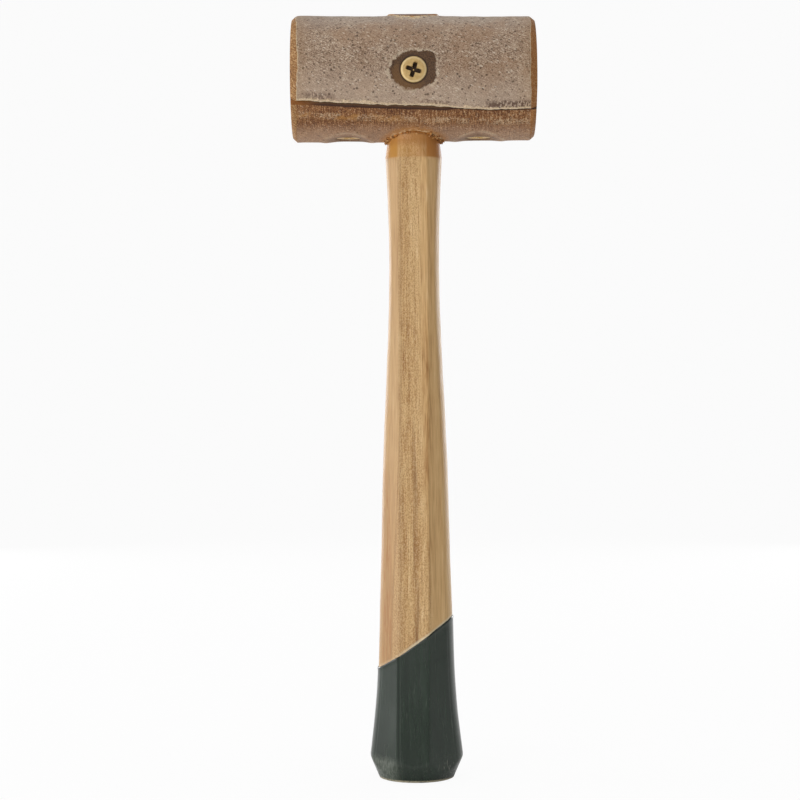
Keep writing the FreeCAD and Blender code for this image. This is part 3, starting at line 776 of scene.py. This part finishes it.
def wood_rings():
    """Sections up the whole handle, and a mark: 1 where it is turned, 2 on its sawn upper end."""
    heights = np.concatenate([
        [HANDLE_FOOT / MM], np.linspace(0.8, 20, 20), np.arange(21.5, 215, 1.5),
        np.arange(215, 227, 0.3), np.arange(227, 265, 2.0), [265.5],
    ]) * MM
    widths = smooth_line(HALF_WIDTHS, np.minimum(heights / MM, 229)) * MM
    rings, cut = [], []
    for z, width in zip(heights, widths):
        section = octagon(width)
        plain = np.linalg.norm(section, axis=1)
        if z < 20 * MM:
            section = limited(section, BUTT_RADIUS + z * BUTT_SLOPE, 0.5 * MM)
        up_cone = (z - (SHOULDER_TOP - SHOULDER_DROP)) / SHOULDER_DROP
        cone = max(SHOULDER_RADIUS - up_cone * (SHOULDER_RADIUS - TENON_RADIUS), TENON_RADIUS)
        if z > SHOULDER_TOP - 30 * MM:
            section = limited(section, cone, 0.06 * MM)
        if z > SHOULDER_TOP:
            section = section / np.linalg.norm(section, axis=1)[:, None] * TENON_RADIUS
        cut.append(np.where(plain > cone + 0.02 * MM, 1.0, 0.0) * (z > SHOULDER_TOP - 9 * MM))
        flat = turned(section)
        wave = 0.03 * MM * unevenness(np.column_stack([flat, np.full(len(flat), z)]), 7 * MM, 41)
        flat = flat * (1 + wave / np.linalg.norm(flat, axis=1))[:, None]
        rings.append(np.column_stack([flat, np.full(len(flat), z)]))
    # The tenon's end is dressed nearly flush with the round of the head.
    unit = rings[-1][:, :2] / np.linalg.norm(rings[-1][:, :2], axis=1)[:, None]
    for inset in (0.0, 0.30, 1.5, 3.0, 5.0, 7.5):
        ring = unit * (TENON_RADIUS - inset * MM)
        dome = HEAD_Z + np.sqrt((HEAD_RADIUS + TENON_PROUD) ** 2 - ring[:, 1] ** 2)
        rings.append(np.column_stack([ring, dome if inset else dome - TENON_EDGE]))
        cut.append(np.full(len(ring), 2.0 if inset else 1.0))
    return rings, cut


rings, cut = wood_rings()
wood_points, wood_faces = lofted(rings)
turned_mark = np.concatenate([np.concatenate(cut), [0.0, 2.0]])
shaft = new_piece("shaft", wood_points, wood_faces, {"turned": turned_mark}, crease=30)


def wood_finish():
    """Pale hardwood with straight grain up the handle, open pores, and a thin satin varnish."""
    material, begin, place = start_finish("hardwood")
    x, y, z = place.parts()
    [turned_here] = begin.marks("turned")
    broad = place.grain(0.0042, stretch=(1, 1, 26), rough=0.5)
    streak = place.grain(0.0013, stretch=(1, 1, 40), detail=4, rough=0.6)
    fibre = place.grain(0.00042, stretch=(1, 1, 30), rough=0.6)
    pore = place.grain(0.00034, stretch=(1, 1, 1.7), detail=1, rough=0.5)
    cloud = place.grain(0.02, stretch=(1, 1, 3), detail=2)
    value = 0.5 + (broad - 0.5) * 0.5 + (streak - 0.5) * 0.75
    value = value + (fibre - 0.5) * 1.25 + (cloud - 0.5) * 0.25
    colour = value.ramp(
        (0.12, 150, 106, 62), (0.36, 184, 141, 90), (0.52, 203, 163, 110),
        (0.70, 215, 178, 126), (0.95, 230, 200, 154))
    # Painted sheen: the left side of the handle is greyed towards the paler, less saturated look of
    # light glancing off it.
    left = x.fade(-0.0035, -0.0065)
    colour = colour.stain(left, 0.55, 184, 149, 109)
    right = x.fade(0.002, 0.009) * z.fade(0.10, 0.17)
    colour = colour.stain(x.fade(0.004, 0.007), 0.35, 226, 188, 132)
    colour = (right * 0.16 * streak.fade(0.35, 0.6)).tint(colour, tone(176, 132, 84))

    # Band of open pores down the front, and a few dark and reddish streaks in it.
    drift = (broad - 0.5) * 0.003
    spread = 0.0034 + z.fade(0.15, 0.03) * 0.0042
    band = (abs(x + 0.0014 + drift) - spread).fade(0.0014, -0.0012)
    colour = colour.stain(band * pore.fade(0.52, 0.62), 0.42, 152, 106, 58)
    colour = colour.stain(band * pore.fade(0.48, 0.40), 0.34, 226, 198, 154)
    band_edge = abs(x + 0.0014 + spread).fade(0.0003, 0.0001) * y.fade(0.0, -0.003)
    colour = colour.stain(band_edge, 0.3, 150, 108, 66)
    wander = (place.grain(0.012, stretch=(1, 1, 2), detail=1) - 0.5) * 0.002
    line = abs(x + 0.0005 - (0.125 - z) * 0.010 + wander)
    dark = line.fade(0.0011, 0.0002) * z.fade(0.135, 0.100) * y.fade(0.0, -0.005)
    colour = (dark * 0.6 * streak.fade(0.3, 0.55)).tint(colour, tone(116, 74, 40))
    red = abs(x + 0.0104).fade(0.0024, 0.0010) * z.fade(0.125, 0.09) * y.fade(0.0, -0.003)
    colour = colour.stain(red * fibre.fade(0.50, 0.60), 0.7, 158, 92, 52)

    # Glue and varnish have soaked into the turned shoulder.
    across = x + y * math.tan(HANDLE_TURN)
    cone_foot = SHOULDER_TOP - SHOULDER_DROP
    soaked = z.fade(cone_foot - 0.0011, cone_foot - 0.0002)
    soaked = soaked * (abs(across).fade(0.0048, 0.0056) * 0.5 + 0.5) * turned_here.fade(1.6, 1.4)
    amber = x.fade(-0.003, 0.003).tint(tone(186, 130, 50), tone(176, 112, 46))
    colour = (soaked * 0.86).tint(colour, amber)
    under_head = z.fade(0.2222, 0.2256) * z.fade(0.262, 0.255)
    colour = colour.stain(under_head, 0.6, 170, 112, 54)

    # Thin pale line where the dipped coating ends.
    edge = z - DIP_HEIGHT - x * DIP_SLOPE
    pale = edge.fade(0.0012, 0.0004) * (0.2 + x.fade(-0.008, 0.000) * 0.5)
    colour = pale.tint(colour, tone(236, 220, 188))

    end_grain = place.grain(0.0005, detail=4).fade(0.3, 0.7).tint(tone(80, 48, 24), tone(128, 86, 46))
    growth = (away(x + 0.012, y - 0.020) + (cloud - 0.5) * 0.004) * 900.0
    growth = growth.math("SINE", growth * math.tau).fade(0.2, 1.0)
    end_grain = end_grain.stain(growth, 0.45, 150, 108, 66)
    pores = place.spots(0.0006).fade(0.25, 0.08)
    end_grain = end_grain.stain(pores, 0.6, 88, 54, 28)
    colour = turned_here.fade(1.4, 1.8).tint(colour, end_grain)

    height = (fibre - 0.5) * 0.5 + (streak - 0.5) * 0.4 - band * pore.fade(0.50, 0.62) * 0.4
    rough = 0.42 + (fibre - 0.5) * 0.5 + (broad - 0.5) * 0.2
    end_finish(begin, height, 0.00012, {
        "Base Color": colour, "Roughness": rough, "Specular IOR Level": 0.28})
    return material


shaft.data.materials.append(wood_finish())
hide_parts("handle")
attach(shaft, "root")

# --- Dipped grip ---
# Dark green enamel from dipping the butt at a slant. It is thin and glossy, thickens to a small
# bead at its slanted edge, and is worn along the rim of the butt.

FILM, BUTT_ROUNDING = 0.25 * MM, 0.35 * MM
BEAD_HEIGHT, BEAD_DROP, BEAD_HALF = 0.13 * MM, 0.55 * MM, 0.5 * MM


def grip_rings():
    """Outside of the coat from the butt's middle to its slanted edge, then the inside back down."""
    count = len(octagon(14 * MM))
    unit = turned(octagon(14 * MM, FILM))
    unit = unit / np.linalg.norm(unit, axis=1)[:, None]
    flat_radius = BUTT_RADIUS + FILM - BUTT_ROUNDING
    rings = [np.column_stack([unit * flat_radius * share, np.zeros(count)])
             for share in (0.10, 0.5, 0.8, 0.95, 1.0)]

    def at(heights, skin):
        """Points of the coat at a height of its own for each place round the handle."""
        found = np.zeros((count, 2))
        widths = smooth_line(HALF_WIDTHS, heights / MM) * MM
        for i, (z, width) in enumerate(zip(heights, widths)):
            butt = BUTT_RADIUS + skin + z * BUTT_SLOPE
            found[i] = limited(octagon(float(width), skin), butt, 0.5 * MM)[i]
        return turned(found)

    top = np.full(count, DIP_HEIGHT)
    for _ in range(4):
        around = at(top, FILM)
        line = np.column_stack([around, np.zeros(count)])
        top = DIP_HEIGHT + around[:, 0] * DIP_SLOPE + 0.10 * MM * unevenness(line, 4 * MM, 51)

    rows = np.concatenate([
        [0.0035, 0.008, 0.015, 0.025], np.linspace(0.04, 0.45, 42), np.linspace(0.47, 0.94, 40),
        [0.955, 0.968, 0.98, 0.988, 0.994, 0.998],
    ])
    for share in rows:
        heights = np.maximum(top * share, 0.12 * MM)
        bead = BEAD_HEIGHT * np.exp(-((top - heights - BEAD_DROP) / BEAD_HALF) ** 2)
        around = at(heights, FILM)
        spread = np.linalg.norm(around, axis=1)
        surface = np.column_stack([around, heights])
        ripple = 0.02 * MM * unevenness(surface, 5 * MM, 52)
        grain = 0.012 * MM * unevenness(surface * np.array([1, 1, 0.08]), 0.8 * MM, 53)
        grown = around * (1 + (bead + ripple + grain) / spread)[:, None]
        rings.append(np.column_stack([grown, heights]))
    around = at(top, FILM * 0.45)
    rings.append(np.column_stack([around, top + 0.05 * MM]))
    for share in (1.0, 0.5, 0.06):
        heights = np.maximum(top * share, 0.4 * MM)
        rings.append(np.column_stack([at(heights, -0.08 * MM), heights]))
    return rings


rings = grip_rings()
grip_points, grip_faces = lofted(rings)
# A mark along the long corner at the front left, where the enamel is made dull and a dark line is
# painted in place of the corner's highlight.
section = octagon(14 * MM)
ridge = np.exp(-((section[:, 0] + FLAT_HALF + 0.05 * MM) / (0.65 * MM)) ** 2) * (section[:, 1] < 0)
ridge = np.concatenate([np.tile(ridge, len(rings)), [0.0, 0.0]])
dipped_grip = new_piece("dipped_grip", grip_points, grip_faces, {"ridge": ridge}, crease=34)


def enamel_finish():
    """Glossy dark green enamel, with the wood's grain showing through and chips along the butt."""
    material, begin, place = start_finish("green_enamel")
    x, y, z = place.parts()
    fibre = place.grain(0.0005, stretch=(1, 1, 34), rough=0.6)
    streak = place.grain(0.0016, stretch=(1, 1, 20), rough=0.6)
    dust = place.spots(0.0022)
    cloud = place.grain(0.012, stretch=(1, 1, 3), detail=2)
    value = 0.5 + (streak - 0.5) * 0.8 + (cloud - 0.5) * 0.5
    colour = value.ramp(
        (0.2, 22, 33, 23), (0.5, 29, 43, 31), (0.8, 38, 54, 40))
    nick = fibre.fade(0.60, 0.66) * place.grain(0.004, stretch=(1, 1, 2), detail=2).fade(0.50, 0.58)
    colour = colour.stain(nick, 0.5, 78, 88, 76)
    dents = place.spots(0.0046, stretch=(1, 1, 2.2)).fade(0.09, 0.04)
    colour = colour.stain(dents, 0.7, 10, 12, 10)
    [ridge] = begin.marks("ridge")
    # Painted shade: a dark line along the front-left corner, where the corner's highlight would be.
    colour = colour.stain(ridge.fade(0.7, 0.97), 0.6, 12, 17, 13)

    edge = z - DIP_HEIGHT - x * DIP_SLOPE
    colour = colour.stain(edge.fade(-0.0012, -0.0004), 0.4, 20, 24, 20)

    # Worn, streaky chamfer, mostly at the right of the butt, and a pale line round its rim.
    low = z.fade(0.0095, 0.006)
    rub = place.grain(0.0005, stretch=(1, 1, 4), rough=0.7)
    worn = low * x.fade(0.006, 0.012) * rub.fade(0.57, 0.66) * y.fade(0.004, -0.004)
    colour = colour.stain(worn, 0.50, 176, 174, 158)
    dull = low * x.fade(-0.004, -0.010) * y.fade(0.004, -0.004)
    colour = (dull * (0.25 + rub.fade(0.42, 0.62) * 0.5)).tint(colour, tone(112, 118, 106))
    rim = z.fade(0.0010, 0.0004) * z.fade(-0.0001, 0.0001)
    rim_noise = place.grain(0.002).fade(0.34, 0.5)
    colour = colour.stain(rim * rim_noise, 0.75, 196, 184, 156)

    height = (fibre - 0.5) * 0.5 + (streak - 0.5) * 0.5 + (cloud - 0.5) * 0.6 - worn * 0.6
    thin = ridge.fade(0.2, 0.6)
    rough = 0.20 + (streak - 0.5) * 0.12 + worn * 0.35 + dust.fade(0.08, 0.02) * 0.3 + thin * 0.55
    end_finish(begin, height, 0.00007, {
        "Base Color": colour, "Roughness": rough, "Coat Weight": 0.22 - thin * 0.22,
        "Coat Roughness": 0.12})
    return material


dipped_grip.data.materials.append(enamel_finish())
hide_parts("grip_coating")
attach(dipped_grip, "root")

# --- Screws ---
# Three brass flat-head wood screws with cross recesses. One holds the tenon from the front, and two
# go up through the roll from below, one each side of the handle, and draw its turns together.

SCREW_RIM = 0.35 * MM
SHANK_RADIUS, ROOT_RADIUS = 2.4 * MM, 1.65 * MM
THREAD_PITCH, PLAIN_SHARE, TIP_RADIUS = 1.95 * MM, 0.42, 0.02 * MM
ARM_HALF, ARM_REACH = 0.76 * MM, 2.86 * MM
RECESS_DEPTH = 2.1 * MM


def cross_outline(arm, reach, corner):
    """A cross with softened tips, as one distance for each of the screw's directions."""
    shoulder = math.atan2(arm, reach)
    quarter = np.concatenate([
        np.linspace(0, shoulder, 5), np.linspace(shoulder, math.pi / 4, 8)[1:]])
    tip = np.minimum(reach / np.cos(quarter), arm / np.maximum(np.sin(quarter), 1e-6))
    on_tip = quarter < shoulder * 1.001
    tip = np.where(on_tip, reach - corner * (quarter / quarter[4]) ** 2, tip)
    angles = np.concatenate([quarter, (math.pi / 2 - quarter)[-2::-1]])[:-1]
    reaches = np.concatenate([tip, tip[-2::-1]])[:-1]
    return (np.concatenate([angles + math.pi / 2 * k for k in range(4)]), np.tile(reaches, 4))


def screw_piece(name, length, turn):
    """A whole screw with its head's top at the origin, +Z out of the head."""
    angles, mouth = cross_outline(ARM_HALF, ARM_REACH, 0.12 * MM)
    _, middle = cross_outline(ARM_HALF * 0.78, ARM_REACH * 0.72, 0.1 * MM)
    floor = np.full(len(angles), 0.55 * MM)
    cone = (SCREW_RADIUS - SHANK_RADIUS) / math.tan(math.radians(41)) + SCREW_RIM

    def ring(reach, z):
        return np.column_stack([reach * np.cos(angles), reach * np.sin(angles), np.full(len(angles), z)])

    rings = [
        ring(0.16 * MM, -RECESS_DEPTH * 0.62),
        ring(np.minimum(floor, mouth * 0.5), -RECESS_DEPTH),
        ring(np.minimum(middle, mouth * 0.9), -RECESS_DEPTH * 0.72),
        ring(mouth * 0.97, -0.16 * MM),
        ring(mouth, -0.05 * MM),
        ring(mouth + 0.06 * MM, 0.0),
        ring(mouth * 0.45 + SCREW_RADIUS * 0.5, 0.0),
        ring(SCREW_RADIUS - 0.30 * MM, -0.005 * MM),
        ring(SCREW_RADIUS - 0.10 * MM, -0.04 * MM),
        ring(SCREW_RADIUS, -0.14 * MM),
        ring(SCREW_RADIUS, -SCREW_RIM),
        ring(SHANK_RADIUS, -cone),
        ring(SHANK_RADIUS, -length * PLAIN_SHARE),
    ]
    plain = length * PLAIN_SHARE
    for z in np.arange(plain + THREAD_PITCH / 12, length, THREAD_PITCH / 10):
        phase = (z / THREAD_PITCH + angles / math.tau) % 1.0
        tooth = np.maximum(0.0, 1 - np.abs(phase - 0.5) / 0.28)
        taper = min(1.0, (length - z) / (5.5 * MM))
        run_in = min(1.0, (z - plain) / (2 * MM))
        thread = (SHANK_RADIUS - ROOT_RADIUS) * tooth * run_in
        rings.append(ring((ROOT_RADIUS + thread) * taper + TIP_RADIUS, -z))
    rings.append(ring(TIP_RADIUS, -length))
    spun = Matrix.Rotation(turn, 3, "Z")
    flat, built = lofted(rings)
    return new_piece(name, flat @ np.array(spun.transposed()), built, crease=35)


def brass_finish():
    """Satin brass, dulled by handling, with painted shade down in the cross recess, a painted glint at
    its middle, and a painted shadow round the head's edge.
    """
    material, begin, place = start_finish("aged_brass")
    x, y, z = place.parts()
    fine = place.grain(0.00025)
    cloud = place.grain(0.0016)
    value = 0.5 + (fine - 0.5) * 0.5 + (cloud - 0.5) * 0.7
    colour = value.ramp((0.2, 190, 156, 98), (0.5, 219, 184, 124), (0.8, 238, 210, 156))
    reach = away(x, y)
    # Pale ring on the head's rim: partly rubbed brass, partly a painted highlight.
    worn_rim_and_highlight = reach.fade(0.0036, 0.0040) * reach.fade(0.0044, 0.0042)
    colour = colour.stain(worn_rim_and_highlight, 0.5, 248, 226, 178)
    # Painted shadow: a dark ring at the head's outer edge.
    colour = colour.stain(reach.fade(0.00430, 0.00455), 0.7, 110, 84, 44)
    # Painted shade down in the cross recess.
    deep = z.fade(-0.00025, -0.0008) * reach.fade(0.0031, 0.0029)
    colour = colour.stain(deep, 0.95, 26, 13, 5)
    # Painted highlight: a bright glint at the middle of the recess.
    nib_glint = deep * reach.fade(0.0012, 0.0006) * cloud.fade(0.40, 0.50)
    colour = colour.stain(nib_glint, 0.9, 250, 206, 120)
    rough = 0.42 + (fine - 0.5) * 0.4 + deep * 0.2
    metal = 0.85 - deep * 0.7
    end_finish(begin, fine, 0.00002, {"Base Color": colour, "Roughness": rough, "Metallic": metal})
    return material


brass = brass_finish()
COIL_LEFT, COIL_RIGHT = ((x, 0, HEAD_Z - UNDER_LEVEL) for x in UNDER_SCREWS)
# Each screw's CAD node, length, place, tilt about the head's length, and turn of its cross.
screw_jobs = {
    "front_screw": ("head_screw", 25.4 * MM, (0, -FACE_LEVEL, HEAD_Z), 90, 17),
    "left_coil_screw": ("coil_screw_left", 31.75 * MM, COIL_LEFT, 180, 30),
    "right_coil_screw": ("coil_screw_right", 31.75 * MM, COIL_RIGHT, 180, 64),
}
for name, (node, length, place, tilt, turn) in screw_jobs.items():
    screw = screw_piece(name, length, math.radians(-turn))
    screw.matrix_world = Matrix.Translation(place) @ Matrix.Rotation(math.radians(tilt), 4, "X")
    screw.data.materials.append(brass)
    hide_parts(node)
    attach(screw, "root")

# --- Glue and torn hide ---
# Hide glue squeezed out where the handle goes in, set as a lumpy amber bead. Crumbs of hide torn up
# when the hole was bored are stuck in it.

CRUMBS, CRUMBS_AT_SIDES = 96, 64
CRUMB_SIZE = np.array([0.55, 0.50, 0.34]) * MM


def under_side(y):
    """The height of the head's underside, at a distance in front of or behind the middle."""
    return HEAD_Z - math.sqrt(HEAD_RADIUS ** 2 - y ** 2)


def glue_points():
    """A lumpy bead round the shoulder, which rides up and down with the round of the head."""
    around = np.arange(0, 1, 1 / 220) * math.tau
    across = np.arange(0, 1, 1 / 14) * math.tau
    centre = TENON_RADIUS + 0.28 * MM
    rings = []
    for turn in around:
        unit = np.array([math.cos(turn), math.sin(turn)])
        z = under_side(centre * unit[1]) - 0.05 * MM
        here = np.array([[*(centre * unit), z]])
        lump = 0.34 + 0.14 * unevenness(here, 1.6 * MM, 61)[0] + 0.10 * unevenness(here, 0.7 * MM, 62)[0]
        lump = max(lump + 0.16 * abs(unit[0]) ** 3, 0.12) * MM
        out = centre + lump * 1.15 * np.cos(across)
        rings.append(np.column_stack([out * unit[0], out * unit[1], z + lump * np.sin(across)]))
    return lofted(rings + rings[:1], closed=False)


def crumb(rng, centre):
    """One torn crumb: a small ball pulled out of shape."""
    ball = bmesh.new()
    bmesh.ops.create_icosphere(ball, subdivisions=2, radius=1.0)
    spots = np.array([tuple(v.co) for v in ball.verts])
    corners = [tuple(v.index for v in f.verts) for f in ball.faces]
    ball.free()
    spots = spots * (1 + 0.42 * unevenness(spots, 0.7, int(rng.integers(1, 9999))))[:, None]
    scale = CRUMB_SIZE * (0.7 + 0.6 * rng.random(3))
    spin = np.array(Matrix.Rotation(rng.random() * math.tau, 3, Vector(rng.normal(size=3)).normalized()))
    return spots * scale @ spin.T + centre, corners


bead_points, bead_faces = glue_points()
rng = np.random.default_rng(71)
all_points, all_faces, crumb_mark = [bead_points], list(bead_faces), [np.zeros(len(bead_points))]
offset = len(bead_points)
for i in range(CRUMBS):
    side = math.pi if i % 2 else 0.0
    spread = 0.5 if i < CRUMBS_AT_SIDES else 1.5
    turn = side + rng.normal() * spread
    reach = TENON_RADIUS + (0.10 + 1.5 * rng.random() ** 2) * MM
    y = reach * math.sin(turn)
    z = under_side(y) - (0.05 + 0.75 * rng.random() ** 2) * MM
    spots, corners = crumb(rng, (reach * math.cos(turn), y, z))
    all_points.append(spots)
    all_faces += [tuple(c + offset for c in corner) for corner in corners]
    crumb_mark.append(np.full(len(spots), 0.3 + 0.7 * rng.random()))
    offset += len(spots)
glue_bead = new_piece("glue_bead", np.concatenate(all_points), all_faces,
                      {"crumb": np.concatenate(crumb_mark)}, crease=60, merge=1e-7)


def glue_finish():
    """Dull amber hide glue, with pale crumbs of hide."""
    material, begin, place = start_finish("hide_glue")
    [crumb_here] = begin.marks("crumb")
    fine = place.grain(0.0006)
    amber = fine.fade(0.3, 0.7).tint(tone(122, 72, 28), tone(186, 124, 58))
    pale = fine.fade(0.40, 0.60).tint(tone(118, 68, 30), tone(206, 160, 104))
    colour = crumb_here.fade(0.1, 0.9).tint(amber, pale)
    end_finish(begin, fine, 0.00012, {
        "Base Color": colour, "Roughness": 0.65 + (fine - 0.5) * 0.5, "Specular IOR Level": 0.25})
    return material


glue_bead.data.materials.append(glue_finish())
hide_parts("glue_fillet")
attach(glue_bead, "root")

# --- Studio ---
# A white sweep that runs from a floor up into a backdrop, a large soft lamp to the front left with
# weaker ones at the side, overhead and behind, and the camera at about half the mallet's height.


def studio_sweep():
    """Floor and backdrop in one sheet, curved where they meet."""
    back = 1.2
    bend = [(back + math.sin(a), 1 - math.cos(a)) for a in np.radians(np.arange(6, 91, 6))]
    profile = [(-3.0, 0.0), (back, 0.0), *bend, (back + 1, 4.0)]
    corners = [(x, y, z) for y, z in profile for x in (-4.0, 4.0)]
    sheet_faces = [(2 * i, 2 * i + 1, 2 * i + 3, 2 * i + 2) for i in range(len(profile) - 1)]
    return new_piece("studio_sweep", corners, sheet_faces, crease=60)


def white_paper():
    """Matt white paper, made to glow for camera rays just enough for the camera to see it as white."""
    material, begin, place = start_finish("white_paper")
    paper = place.grain(0.004, detail=2)
    normal = begin.node("Bump", {}, {"Strength": 0.2, "Distance": 0.0001, "Height": paper})
    matt = begin.node("BsdfPrincipled", {}, {
        "Base Color": tone(232, 232, 232), "Roughness": 0.9, "Normal": normal})
    glow = begin.node("Emission", {}, {"Color": (1.0, 1.0, 1.0, 1.0), "Strength": 1.0})
    seen = begin.node("LightPath", {}, {}, output=0)
    both = begin.node("MixShader", {}, {0: seen * 0.94, 1: matt, 2: glow})
    begin.node("OutputMaterial", {}, {"Surface": both})
    return material


sweep = studio_sweep()
sweep.data.materials.append(white_paper())

AMBIENT = 0.40
world = bpy.data.worlds.new("studio")
world.use_nodes = True
world.node_tree.nodes.clear()
air = Signal(world.node_tree)
seen = air.node("LightPath", {}, {}, output=0)
strength = AMBIENT + seen * (1.0 - AMBIENT)
sky = air.node("Background", {}, {"Color": (1.0, 1.0, 1.0, 1.0), "Strength": strength})
air.node("OutputWorld", {}, {"Surface": sky})
bpy.context.scene.world = world


def soft_lamp(name, place, target, size, watts):
    lamp = bpy.data.lights.new(name, "AREA")
    lamp.shape = "RECTANGLE"
    lamp.size, lamp.size_y = size
    lamp.energy = watts
    holder = bpy.data.objects.new(name, lamp)
    holder.location = place
    holder.rotation_euler = (Vector(target) - Vector(place)).to_track_quat("-Z", "Y").to_euler()
    bpy.context.scene.collection.objects.link(holder)


soft_lamp("key", (-0.70, -0.90, 0.32), (0, 0, 0.17), (0.7, 0.7), 6.2)
soft_lamp("left_side", (-1.00, 0.14, 0.18), (0, 0, 0.15), (0.5, 0.8), 2.9)
soft_lamp("top", (0.0, 0.05, 1.30), (0, 0, 0.20), (0.8, 0.6), 3.6)
soft_lamp("back_left", (-0.60, 0.95, 0.25), (0, 0, 0.15), (0.5, 0.8), 4.3)
soft_lamp("back_right", (0.60, 0.95, 0.25), (0, 0, 0.15), (0.5, 0.8), 4.4)

camera_data = bpy.data.cameras.new("camera")
camera_data.lens = 90.0
camera_data.sensor_width = 36.0
camera = bpy.data.objects.new("camera", camera_data)
camera.location = (-0.0053, -0.711, 0.13373)
camera.rotation_euler = (math.radians(90), math.radians(0.3), 0)
bpy.context.scene.collection.objects.link(camera)
bpy.context.scene.camera = camera
bpy.context.scene.view_settings.view_transform = "Standard"
